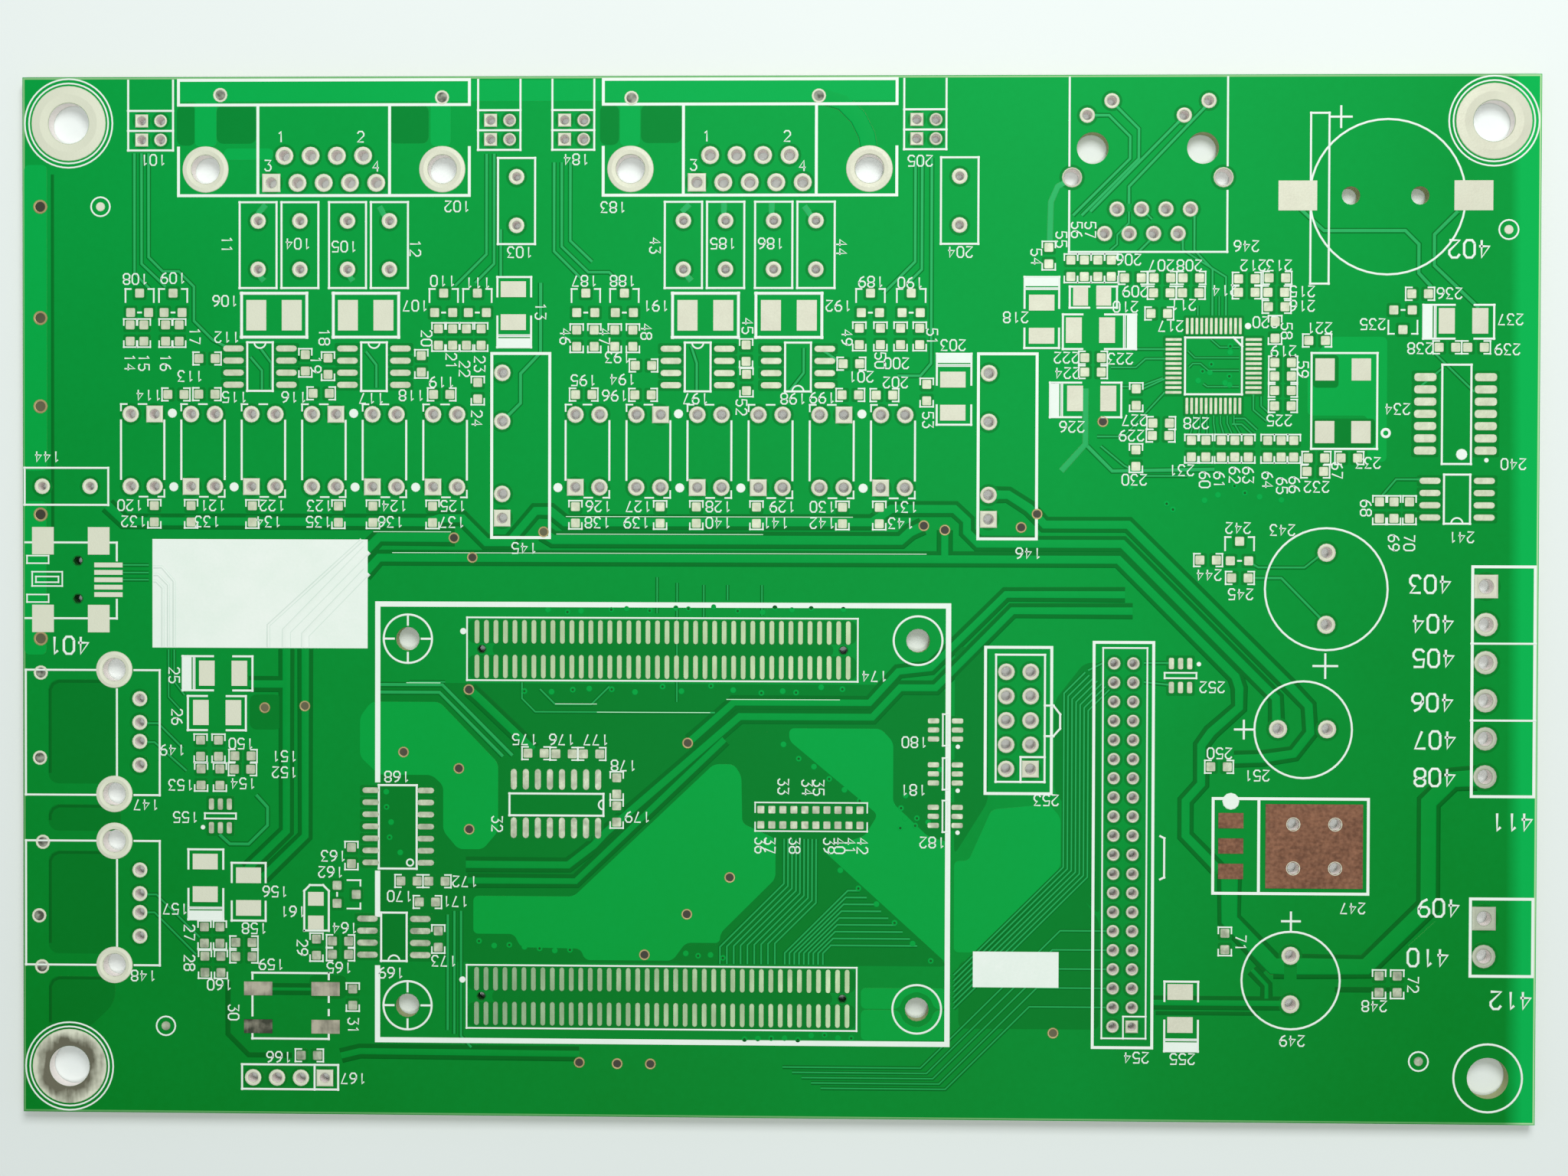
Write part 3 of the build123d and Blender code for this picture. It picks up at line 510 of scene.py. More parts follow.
# Bundles of tracks: from the many-legged package, from the lower connector and from the fine header
LEG_WIDTH, FAN_WIDTH, BUNDLE_WIDTH = 0.16, 0.22, 0.2
for step in range(7):
    lane = 43.6 + 0.7 * step
    thin_tracks.append(([(lane, 19.2), (lane, 18.4), (43.3 + 0.86 * step, 17.3)], LEG_WIDTH))
for step in range(9):
    low, high, bend = -5.6 + 0.72 * step, 1.1 + 0.42 * step, -36.6 + 0.05 * step
    thin_tracks.append(([(low, -38.4), (low, bend), (high, bend + high - low), (high, -25.2)], FAN_WIDTH))
for step in range(9):
    low, level = 1.2 + 0.5 * step, -30.6 - 0.72 * step
    end = 4.4 - 1.05 * (level + 26.2)
    thin_tracks.append(([(low, -38.4), (low, -37.2), (low + level + 37.2, level), (end, level)], FAN_WIDTH))
for step in range(7):
    lane, drop, bend = 30.3 + 0.42 * step, 0.3 * step, -28.0 - 0.17 * step
    lead = [(lane + 2.2, -7.6 - drop), (lane, -9.8 - drop)]
    thin_tracks.append(([*lead, (lane, bend), (18.9, bend + 18.9 - lane)], BUNDLE_WIDTH))
for step in range(5):
    row, turn, level = -34.66 - 2.0 * step, 30.0 - 0.8 * step, -49.2 - 0.55 * step
    thin_tracks.append(([(34.8, row), (turn, row), (turn + level - row, level), (1.0 + step, level)], BUNDLE_WIDTH))
MOAT_WIDTH, FINE_MOAT_WIDTH = 0.55, 0.15
# The moats also take the dark lines, some of which are painted shadow.
moats_and_painted_shadows = [(points, width + 2 * MOAT_WIDTH) for points, width in wide_tracks] + dark_lines
moats_and_painted_shadows += [(points, width + 2 * FINE_MOAT_WIDTH) for points, width in thin_tracks if width < 0.45]
for name, runs, rise, finish in (
    ("etched_moats_and_painted_shadows", moats_and_painted_shadows, MOAT_RISE, moat_mask),
    ("wide_etched_tracks", wide_tracks + plain_tracks, TRACK_RISE, wide_mask),
    ("fine_etched_tracks", thin_tracks, TRACK_RISE, track_mask),
):
    parts = [(part, width, False) for points, width in runs for part in off_holes(points, width)]
    ribbons(name, parts, rise, finish, "green_mask")
# Painted highlights: thin pale lines on the upper edges of some wide tracks, where the mask catches a glint.
painted_glint_runs = [
    (-40.2, 4.68, 15.9), (-42.2, 6.88, -34), (-22.9, 6.68, -1.2), (-21.9, 8.52, 8.2), (-38.7, -9, -35.1),
    (-23, -11.15, -18.6), (-18.6, -12, -6.7), (-5, -10.6, 6.9),
]
glints = [([(left, y), (right, y)], 0.1, False) for left, y, right in painted_glint_runs]
ribbons("painted_track_glints", glints, TRACK_RISE + 0.004, glint_mask_painted, "green_mask")
# Painted highlight: a pale line round the edge of the board, where the lit edge shows.
board_edge = [(rectangle(-79.23, -54.45, 79.23, 54.45), 0.28, True)]
ribbons("painted_edge_highlight_line", board_edge, 0.004, edge_highlight_mask, "green_mask")

# Plated holes: each lead hole is drilled, plated through and tinned, with a land on both faces.
# A tinned eyelet lines the drilled hole; pin one of a part has a square land.
LAND_RISE = 0.06
SOILED_CORNER = (-0.0745, -0.04975, 0.0016)
tin = Paint("tinned_copper")
tin_cloud, tin_grain = tin.noise(420.0, 3.0), tin.noise(5200.0)
tin_wall = 1.0 - tin.level(0.1)
tin_scratch = tin.noise(1500.0, 2.0, (1.4, 0.2, 1.0))
soil_points = {0: tin.place(), 1: SOILED_CORNER}
soil_reach = tin.add("ShaderNodeVectorMath", {"operation": "DISTANCE"}, soil_points, "Value")
soil_cloud = tin.clip(tin_cloud * 2.2 + tin_scratch * 0.9 + 1.55 - soil_reach * 780.0)
tin_soil = tin.clip(10.0 - soil_reach * 2000.0) * soil_cloud
tin_across, tin_along = tin.along("X"), tin.along("Y")
tin_tired = tin.clip(tin_across * 100.0 - 6.5) * tin.clip(tin_along * -60.0) * 0.8
tin_fresh = tin.blend(tin_cloud, (0.66, 0.68, 0.535, 1), (0.54, 0.53, 0.42, 1))
tin_bright = tin.blend(tin.clip(tin_across * -14.0), tin_fresh, (0.70, 0.72, 0.57, 1))
tin_clean = tin.blend(tin_tired, tin_bright, (0.34, 0.39, 0.29, 1))
tin_open = tin.blend(tin_soil, tin_clean, (0.13, 0.125, 0.080, 1))
tin.set(
    Base_Color=tin.blend(tin_wall, tin_open, (0.93, 0.87, 0.84, 1)),
    Roughness=0.42 + tin_grain * 0.22 + tin_wall * 0.1,
    Metallic=(0.16 + tin_cloud * 0.12) * (1.0 - tin_wall),
    Normal=tin.bump(tin_cloud + tin_grain * 0.4, 0.45, 0.00005),
)
thin_tin = Paint("thin_tin")
thin_cloud = thin_tin.clip(thin_tin.noise(1100.0, 3.0) * 2.6 - 0.8)
# The tone of these lands is darker towards the bottom of the board.
thin_downward_share = thin_tin.clip(0.12 - thin_tin.along("Y") * 17.0)
thin_upper_tone = thin_tin.blend(thin_cloud, (0.65, 0.69, 0.51, 1), (0.51, 0.56, 0.39, 1))
thin_lower_tone = thin_tin.blend(thin_cloud, (0.47, 0.53, 0.38, 1), (0.17, 0.21, 0.14, 1))
thin_tin.set(
    Base_Color=thin_tin.blend(thin_downward_share, thin_upper_tone, thin_lower_tone),
    Roughness=0.38 + thin_cloud * 0.2,
    Metallic=0.14 + thin_cloud * 0.12,
    Normal=thin_tin.bump(thin_cloud, 0.5, 0.00006),
)
contact_tin = Paint("connector_tin")
contact_cloud = contact_tin.noise(900.0, 3.0, (1.0, 0.4, 1.0))
contact_age = (contact_tin.along("Y") * -1.0 > 0.02) * contact_tin.clip(0.35 - contact_tin.along("X") * 22.0)
contact_fresh = contact_tin.blend(contact_cloud, (0.45, 0.56, 0.34, 1), (0.31, 0.42, 0.23, 1))
contact_worn = contact_tin.blend(contact_cloud, (0.29, 0.42, 0.25, 1), (0.14, 0.26, 0.12, 1))
contact_tin.set(
    Base_Color=contact_tin.blend(contact_age, contact_fresh, contact_worn),
    Roughness=0.36 + contact_cloud * 0.2,
    Metallic=0.30 + contact_cloud * 0.2,
    Normal=contact_tin.bump(contact_cloud, 0.5, 0.00006),
)
soiled = Paint("soiled_tin")
soiled_cloud = soiled.noise(520.0, 4.0)
soiled_scratch = soiled.noise(1500.0, 2.0, (1.4, 0.2, 1.0))
soiled_left = soiled.clip(soiled.along("X") * -600.0 - 30.0)
soiled_low = soiled.clip(soiled.along("Y") * -500.0 - 20.6)
soiled_share = soiled.clip(soiled_cloud * 2.2 + soiled_scratch * 0.8 - 0.75 - soiled_left * soiled_low * 0.7)
soiled.set(
    Base_Color=soiled.blend(soiled_share, (0.035, 0.040, 0.022, 1), (0.46, 0.43, 0.33, 1)),
    Roughness=0.42 + soiled_scratch * 0.3,
    Metallic=0.25 + soiled_cloud * 0.2,
    Normal=soiled.bump(soiled_cloud + soiled_scratch, 0.5, 0.00005),
)


def turned(profile, steps):
    """A bmesh of one profile of radii and heights, spun about the upright axis."""
    bm = bmesh.new()
    line = [bm.verts.new((radius, 0, height)) for radius, height in profile]
    line += [bm.edges.new(pair) for pair in zip(line, line[1:])]
    bmesh.ops.spin(bm, geom=line, axis=(0, 0, 1), cent=(0, 0, 0), steps=steps, angle=math.tau, use_merge=True)
    bmesh.ops.recalc_face_normals(bm, faces=bm.faces)
    return bm


def eyelet(bore, land, rise, dome, square=False):
    """A lined hole of two radii at the origin, with a land on both faces of the board."""
    inner, outer, top = bore + 0.07, land - 0.06, BOARD_TOP + rise
    profile = [(land, FOOT), (outer, top), ((bore + land) / 2, top + dome), (inner, top), (bore, BOARD_TOP - 0.02),
               (bore, 0.02), (inner, -UNDERSIDE_RISE), (outer, -UNDERSIDE_RISE), (land, SUNK)]
    bm = turned(profile, 16 if land < 1.6 else 40)
    if square:
        for vertex in bm.verts:
            if vertex.co.xy.length > bore + 0.1:
                vertex.co.xy *= vertex.co.xy.length / max(abs(vertex.co.x), abs(vertex.co.y))
    return shape("eyelet", bm)


def repeat(name, shapes, material, slot):
    """One piece of many copies: each is a mesh, a place and a turn in degrees."""
    bm = bmesh.new()
    for mesh, x, y, turn in shapes:
        before = len(bm.verts)
        bm.from_mesh(mesh)
        bm.verts.ensure_lookup_table()
        place = Matrix.Translation((x, y, 0)) @ Matrix.Rotation(math.radians(turn), 4, "Z")
        bmesh.ops.transform(bm, matrix=place, verts=bm.verts[before:])
    return put(name, bm, material, slot)


def cloudy(name, scale, first, second, roughness, gain=1.0, offset=0.0, **constants):
    """A finish that is clouded between two colours, rougher in the second one."""
    paint = Paint(name)
    cloud = paint.noise(scale)
    tone = paint.blend(paint.clip(cloud * gain - offset), first, second)
    return paint.set(Base_Color=tone, Roughness=roughness + cloud * 0.2, **constants)


pit = cloudy("shaded_hole", 2000.0, (0.008, 0.150, 0.022, 1), (0.004, 0.070, 0.010, 1), 0.5, Specular_IOR_Level=0.05)
LAND_DIAMETERS = {0.8: 1.35, 0.85: 1.7, 0.9: 1.4, 0.95: 1.65, 1.0: 1.8, 1.05: 1.8, 1.1: 1.95, 1.5: 2.5, 1.7: 2.15}
pin_ones = [
    (-66.7, 48), (-66.7, 50), (-29.9, 48), (-29.9, 50), (-22.1, 48), (-22.1, 50), (14.7, 48), (14.7, 50), (-53, 43.5),
    (-8.2, 43.5), (-65.37, 19.2), (-61.5, 11.6), (-55.1, 11.6), (-46.17, 19.2), (-42.3, 11.6), (-35.9, 11.6),
    (-20.9, 11.6), (-11.98, 19.2), (-8.1, 11.6), (-1.7, 11.6), (7.22, 19.2), (11.1, 11.6), (-28.6, 8.3), (22.3, 8.3),
    (26.8, -17.75), (37.5, -44.66), (73.97, 1.5), (73.97, -33.1), (-47.3, -50.8),
]
ring_lands = {
    4.3: ("corner_hole_rings", 3.95, 0.05),
    3.0: ("serial_lock_rings", 2.45, 0.04),
    2.4: ("port_shield_rings", 1.95, 0.04),
}
other_drills = [1.2, 1.9, 2.5, 3.3]
BARE_RIM_RISE = 0.008
eyelets, sleeves, pegs, shapes = [], [], [], {}
rings = {node: [] for node, ring_land, dome in ring_lands.values()}
for x, y, half, sides in HOLES:
    drill = min([*LAND_DIAMETERS, *ring_lands, *other_drills], key=lambda size: abs(size / 2 - half))
    rim = half / math.cos(math.pi / sides)
    bare_corner = drill == 4.3 and x > 0 > y
    mini_peg = x < -73 and abs(y - 1.7) < 3
    core_peg = drill == 0.8 and min(abs(y + 5.42), abs(y + 41.97)) < 0.2 and x < 8
    on_regulator_tab = 51 < x < 62 and -30 < y < -21
    if drill in ring_lands and not bare_corner:
        node, ring_land, dome = ring_lands[drill]
        rings[node].append((eyelet(half, ring_land, LAND_RISE, dome), x, y, 0))
    elif mini_peg or core_peg:
        pegs.append((eyelet(half, rim + 0.08, BARE_RIM_RISE, 0.0), x, y, 0))
    elif on_regulator_tab:
        eyelets.append((eyelet(half, rim + 0.10, LAND_RISE + 0.01, 0.0), x, y, 0))
    elif drill not in LAND_DIAMETERS:
        sleeves.append((eyelet(half, rim + 0.12, BARE_RIM_RISE, 0.0), x, y, 0))
    else:
        square = any(abs(x - px) < 0.5 and abs(y - py) < 0.5 for px, py in pin_ones)
        if (drill, square) not in shapes:
            shapes[drill, square] = eyelet(half, LAND_DIAMETERS[drill] / 2, LAND_RISE, 0.02, square)
        eyelets.append((shapes[drill, square], x, y, 0))
repeat("lead_eyelets", eyelets, tin.material, "tinned_copper")
repeat("bare_hole_rims", sleeves, plain_mask, "green_mask")
repeat("peg_hole_rims", pegs, pit, "green_mask")
for node, copies in rings.items():
    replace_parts(repeat("round_" + node, copies, tin.material, "tinned_copper"), node)

# Stitching holes: small plated holes that join the copper of both faces, with a thin brown rim of copper.
# The row along the short edge and the top edge ties the shield copper; the rest carry supply current.
dull = cloudy("tarnished_copper", 700.0, (0.52, 0.43, 0.21, 1), (0.30, 0.22, 0.09, 1), 0.4, Metallic=0.55)
dimple = cloudy("filled_hole", 45.0, (0.024, 0.022, 0.009, 1), (0.19, 0.18, 0.08, 1), 0.5, 4.0, 1.9)
bright = cloudy("open_hole", 1300.0, (0.05, 0.055, 0.035, 1), (0.32, 0.34, 0.27, 1), 0.45, 4.0, 1.6)
edge_stitches = [(-77.5, y) for y in (41.0, 29.3, 20.0, 8.6, -4.5)]
open_stitches = [
    (-77.5, -8.1), (-77.6, -17.1), (-77.3, -26), (-77.7, -33.8), (-77.4, -39.2), (-58.4, 52.7), (-35, 52.4),
    (-15.1, 52.3), (4.5, 52.5),
]
supply_stitches = [
    (-33.7, 6.25), (-31.75, 4.2), (-24.25, 6.9), (15.6, 7.65), (17.8, 7.2), (25.75, 7.5), (27.4, 8.9), (34.2, 18.55),
    (-32.1, -9.7), (-39, -16.3), (-33.15, -18), (-32.05, -24.4), (-9.05, -15.2), (-53.7, -11.7), (-49.45, -11.5),
    (-4.6, -29.3), (-9.1, -33.2), (-13.55, -37.5), (-20.4, -48.9), (-16.4, -49), (-12.9, -49), (29.3, -45.4),
]


def disc(radius, rise, sides=12, taper=0.9):
    """A low round pad, narrower at its top."""
    bm = bmesh.new()
    bmesh.ops.create_cone(bm, cap_ends=True, segments=sides, radius1=radius, radius2=radius * taper, depth=rise + SUNK)
    bmesh.ops.translate(bm, vec=(0, 0, BOARD_TOP + (rise - SUNK) / 2), verts=bm.verts)
    return shape("disc", bm)


def cup(radius, rise):
    """A rim round a shallow dish, as a plated hole looks that its finish has closed."""
    top = BOARD_TOP + rise
    profile = [(radius, FOOT), (radius - 0.06, top), (radius * 0.76, top), (radius * 0.68, BOARD_TOP + 0.025)]
    return shape("cup", turned(profile, 14))


def at(mesh, places):
    """One copy of a mesh for each place."""
    return [(mesh, x, y, 0) for x, y in places]


edge_cup, supply_cup, edge_fill, supply_fill = cup(0.78, 0.05), cup(0.60, 0.05), disc(0.58, 0.036), disc(0.45, 0.036)
stitch_rims = at(edge_cup, edge_stitches) + at(supply_cup, supply_stitches)
stitch_fills = at(edge_fill, edge_stitches) + at(supply_fill, supply_stitches)
repeat("stitch_rims", stitch_rims, dull, "bare_copper")
repeat("stitch_fills", stitch_fills, dimple, "bare_copper")
repeat("open_stitch_rims", at(edge_cup, open_stitches), tin.material, "tinned_copper")
repeat("open_stitch_fills", at(edge_fill, open_stitches), bright, "tinned_copper")
random.seed(7)
tented = [(-26.0 + 2.4 * k + random.uniform(-0.7, 0.7), -9.55 + random.uniform(-0.4, 0.4)) for k in range(15)]
tented += [(-24.0 + 2.2 * k + random.uniform(-0.8, 0.8), -1.2 + random.uniform(-0.35, 0.4)) for k in range(15)]
tented += [(-31.0 + 1.6 * k, -36.4 - 0.14 * k + random.uniform(-0.3, 0.3)) for k in range(7)]
tented += [(-9.2 + 1.3 * k, -37.6 + random.uniform(-0.2, 0.3)) for k in range(4)]
tented += [(7.0 + 1.9 * k, -28.6 - 1.85 * k + random.uniform(-0.3, 0.3)) for k in range(6)]
tented += [(1.0 + 1.6 * k, -15.4 - 1.1 * k + random.uniform(-0.3, 0.3)) for k in range(6)]
tented += [(random.uniform(43.4, 47.9), random.uniform(22.0, 26.6)) for k in range(9)]
tented += [(random.uniform(36.0, 57.0), random.uniform(9.4, 12.0)) for k in range(10)]
tented += [(random.uniform(13.0, 18.0), random.uniform(-24.0, -14.0)) for k in range(8)]
tented += [(-3.0 + 1.4 * k, -46.1 + random.uniform(-0.3, 0.3)) for k in range(9)]
tented += [(-40.0 + random.uniform(-1.0, 1.0), -20.5 - 1.6 * k) for k in range(5)]
tent, pinhole = disc(0.34, 0.03, 10, 0.8), disc(0.15, 0.034, 8)
repeat("covered_stitches", at(tent, tented), copper_mask, "green_mask")
repeat("pinholes", at(pinhole, tented[::2]), pit, "green_mask")

# Lands: copper left open in the mask and levelled with hot tin, where the parts would be soldered.
# The larger ones are the CAD solids; those of the small chips and the many-legged packages follow here.
tinned_nodes = ("battery_clip_lands", "diode_lands", "capacitor_lands", "inductor_lands", "indicator_lands",
                "crystal_lands", "mini_port_shell_lands", "mini_port_contact_lands")
dress(tinned_nodes, tin.material)
dress(["button_lands"], soiled.material)
chip_upright = [
    *((x, 27.72) for x in (-67.95, -66.5, -64.2, -62.75)), *((x, 27.32) for x in (-35.35, -33.85, -32.4, -30.85)),
    *((x, 27.2) for x in (-20.8, -18.95, -16.8, -14.9)), *((x, 27.4) for x in (8.8, 11, 13.1, 15.1)),
    *((x, 8.7) for x in (-65.4, -61.5, -55, -45.9, -42.25, -35.95, -20.9, -12, -8.2, -1.9, 7.1, 10.95)),
    *((x, 34.5) for x in (30.8, 32.2, 33.6, 35)),
    *((x, 15.75) for x in (43.4, 44.9, 46.5, 47.9, 49.3, 51.3, 52.7, 54)), *((x, 9.4) for x in (62.9, 64.4, 66)),
    (-49.4, 24.6), (-47, 24.25), (-37.15, 24.5), (-31.2, 21.7), (-3.03, 25.65), (-2.98, 22.58), (15.85, 21.55),
    (28.5, 35.82), (52, 28.1), (37.65, 21.1), (37.65, 14.75), (-60.5, -16), (-58.6, -16), (-60.45, -19.05),
    (-58.45, -19.05), (-60.1, -35.75), (-58.45, -35.75), (-60.05, -38.85), (-58.35, -38.85), (-48.2, -36.95),
    (-44.5, -27.25), (-35.3, -36), (-44.35, -42.2), (-16.5, -19.75), (-16.5, -22.7), (47.15, -35.65), (63.17, -40),
    (65.05, -40),
]
chip_level = [
    (-59.8, 25.05), (-63.1, 21.27), (-59.82, 21.3), (-47.72, 21.4), (-35, 21.3), (-20.05, 21.3), (-13.78, 24.35),
    (-13.82, 21.28), (7.98, 24.55), (7.88, 21.3), (11.45, 21.28), (37.25, 33.5), (40.3, 33.5), (43.3, 33.5),
    (40.25, 31.95), (43.25, 31.95), (40, 29.8), (49.05, 33.4), (49.05, 32), (52.2, 33.5), (52.1, 32), (52.15, 30.5),
    (56.35, 27), (52.85, 24.7), (52.85, 23.3), (52.85, 21.8), (52.85, 20.2), (33.15, 25.2), (33.15, 23.7),
    (40.25, 18.4), (40.2, 17.1), (56.35, 14.8), (56.25, 13.4), (59.75, 14.8), (66.95, 31.85), (69.8, 26.3),
    (72.75, 26.3), (45.2, 4.15), (48.5, 2.3), (-56, -16.8), (-56.05, -18.2), (-55.9, -36.5), (-55.9, -38),
    (-45.65, -36.3), (-45.65, -37.7), (-38.4, -29.9), (-35.45, -29.9), (-36.45, -32.1), (-48.95, -48.4),
    (-25, -16.35), (-22.05, -16.4), (-19.15, -16.4), (46.45, -17.4),
]
CHIP_STEP = 1.72
SIDES = (-1, 1)


def plate(length, width, height, corner):
    """A bmesh of a plate about the origin, with its upright edges rounded."""
    bm = bmesh.new()
    bmesh.ops.create_cube(bm, size=1.0, matrix=Matrix.Diagonal((length, width, height, 1)))
    upright = [e for e in bm.edges if abs(e.verts[0].co.z - e.verts[1].co.z) > 0.01]
    bmesh.ops.bevel(bm, geom=upright, affect="EDGES", offset=corner, segments=2, profile=0.5, material=-1)
    return bm


def land(length, width, corner):
    """A tinned land at the origin: a plate whose top edges are rounded by the tin."""
    bm = plate(length, width, LAND_RISE + SUNK, corner)
    top = [e for e in bm.edges if min(v.co.z for v in e.verts) > 0.01]
    bmesh.ops.bevel(bm, geom=top, affect="EDGES", offset=0.03, segments=1, profile=0.5, material=-1)
    bmesh.ops.translate(bm, vec=(0, 0, BOARD_TOP + (LAND_RISE - SUNK) / 2), verts=bm.verts)
    return shape("land", bm)


def swung(x, y, turn, points):
    """Points about the origin, turned by degrees and moved to a place."""
    spin = Matrix.Rotation(math.radians(turn), 2)
    return [(x + spot.x, y + spot.y) for spot in (spin @ Vector(point) for point in points)]


def spread(count, pitch):
    """Places of a row of so many, about its middle."""
    return [pitch * (k - (count - 1) / 2) for k in range(count)]


CONTACTS, CONTACT_HALF_WIDTH, CONTACT_HALF_LENGTH = 40, 0.275, 1.225
contact_land = land(0.52, 2.5, 0.24)
for node in ("upper_connector_lands", "lower_connector_lands"):
    low, high = (Vector(corner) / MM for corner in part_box(node))
    rows = (low.y + CONTACT_HALF_LENGTH, high.y - CONTACT_HALF_LENGTH)
    contacts = at(contact_land, [(low.x + CONTACT_HALF_WIDTH + k, y) for k in range(CONTACTS) for y in rows])
    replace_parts(repeat("round_" + node, contacts, contact_tin.material, "tinned_copper"), node)
chip_land = land(0.95, 0.95, 0.12)
chip_lands = at(chip_land, [(x, y + side * CHIP_STEP / 2) for x, y in chip_upright for side in SIDES])
chip_lands += at(chip_land, [(x + side * CHIP_STEP / 2, y) for x, y in chip_level for side in SIDES])
transistors = [(x, 30.9, 0) for x in (-66.95, -63.4, -34.8, -31.25, -19.85, -15.8, 9.95, 14.2)]
transistors += [(48.45, 5.1, 0), (65.2, 29.15, 180), (-45.0, -31.35, 270)]
for x, y, turn in transistors:
    chip_lands += at(chip_land, swung(x, y, turn, ((0, 1.02), (-0.95, -1.02), (0.95, -1.02))))
chip_lands += at(land(0.75, 0.8, 0.1), [(-1.35 + 1.155 * k, y) for k in range(10) for y in (-22.15, -23.75)])
repeat("chip_lands", chip_lands, thin_tin.material, "tinned_copper")

LEG_PITCH, FINE_PITCH = 1.27, 0.5
small_outlines = [(x, 24.2, "top") for x in (-54.2, -42.15, -8.1)]
small_outlines += [(2.4, 24.2, "bottom"), (70.9, 10.55, "bottom"), (-40, -35.8, "bottom")]
leg, wide_leg, mid_leg = land(2.2, 0.65, 0.3), land(2.3, 0.85, 0.3), land(1.8, 0.6, 0.28)
short_leg, fine_leg = land(1.2, 0.55, 0.15), land(1.7, 0.3, 0.08)
legs = []
for x, y, notch in small_outlines:
    legs += at(leg, [(x + side * 2.8, y + step) for side in SIDES for step in spread(4, LEG_PITCH)])
legs += at(wide_leg, [(x, 19.4 + step) for x in (67.55, 73.8) for step in spread(7, LEG_PITCH)])
legs += at(mid_leg, [(x, -24.15 + step) for x in (-42.45, -36.65) for step in spread(7, LEG_PITCH)])
legs += [(leg, -22.9 + step, y, 90) for y in (-19.1, -24.2) for step in spread(8, LEG_PITCH)]
six_legs = [(-58.4, -23.15, 0), (42.4, -7.9, 0), (17.95, -13.7, 90), (17.95, -18.3, 90), (17.95, -22.75, 90)]
for x, y, turn in six_legs:
    feet = [(step, side * 1.25) for step in spread(3, 0.95) for side in SIDES]
    legs += [(short_leg, *spot, turn + 90) for spot in swung(x, y, turn, feet)]
legs += at(fine_leg, [(45.65 + side * 4.15, 24.35 + step) for side in SIDES for step in spread(12, FINE_PITCH)])
legs += [(fine_leg, 45.65 + step, 24.35 + side * 4.15, 90) for side in SIDES for step in spread(12, FINE_PITCH)]
repeat("package_lands", legs, thin_tin.material, "tinned_copper")

# The mask lies on bare laminate in a narrow strip round each land; the dark strip also paints the shade at the foot of
# each land.
CLEAR_RISE, CLEAR_STEP, CLEAR_WIDTH = 0.0088, 0.0004, 0.26


def clearance(mesh, drilled, top):
    """A thin plate a little larger than a land, or a thin ring round a drilled one."""
    half_length, half_width = (max(v.co[axis] for v in mesh.vertices) for axis in (0, 1))
    outer = half_length + CLEAR_WIDTH
    if drilled:
        return shape("clearance", turned([(outer, FOOT), (outer, top), (half_length - 0.08, top)], 16))
    bm = plate(2 * outer, 2 * (half_width + CLEAR_WIDTH), 2 * SUNK, 0.2)
    bmesh.ops.translate(bm, vec=(0, 0, top - SUNK), verts=bm.verts)
    return shape("clearance", bm)


clear_shapes, clear_plates, clear_rings = {}, [], []
for layer, (mesh, x, y, turn) in enumerate(chip_lands + legs + eyelets):
    drilled = layer >= len(chip_lands + legs)
    key = mesh.name, layer % LAYERS
    if key not in clear_shapes:
        clear_shapes[key] = clearance(mesh, drilled, BOARD_TOP + CLEAR_RISE + CLEAR_STEP * (layer % LAYERS))
    (clear_rings if drilled else clear_plates).append((clear_shapes[key], x, y, turn))
repeat("land_clearances_and_shade", clear_plates, bare_mask, "green_mask")
repeat("eyelet_clearances_and_shade", clear_rings, bare_mask, "green_mask")

# Regulator footprint: bare copper that has tarnished brown, a square tab and three lands.
# It is rolled foil, so fine scratches run over it.
copper = Paint("bare_copper")
copper_cloud = copper.noise(260.0, 4.0)
copper_scratch = copper.noise(2200.0, 2.0, (0.35, 1.3, 1.0))
copper_share = copper.clip(copper_cloud * 1.2 + copper_scratch * 0.7 + copper.noise(2600.0, 1.0) * 1.3 - 1.2)
copper.set(
    Base_Color=copper.blend(copper_share, (0.118, 0.047, 0.022, 1), (0.28, 0.130, 0.072, 1)),
    Roughness=0.42 + copper_cloud * 0.2,
    Metallic=0.45 + copper_scratch * 0.3,
    Normal=copper.bump(copper_scratch, 0.3, 0.00003),
)
dress(["regulator_tab", "regulator_lands"], copper.material)

# White print: epoxy ink screened on the mask after curing, in lines about a quarter of a millimetre wide.
# It marks the outline of each part, its polarity and a running number beside it.
INK_RISE = 0.045
ink = Paint("white_ink")
ink_cloud, ink_grain = ink.noise(300.0, 3.0), ink.noise(3500.0)
ink.set(
    Base_Color=ink.blend(ink_cloud * 0.7 + ink_grain * 0.3, (0.86, 0.90, 0.85, 1), (0.70, 0.82, 0.72, 1)),
    Roughness=0.5 + ink_grain * 0.2,
    Normal=ink.bump(ink_grain, 0.3, 0.00003),
)
inked_nodes = ("ink_panel", "small_ink_panel", "core_board_outline", "serial_port_outlines", "header_outlines",
               "converter_outlines", "regulator_outline", "terminal_outlines")
dress(inked_nodes, ink.material)
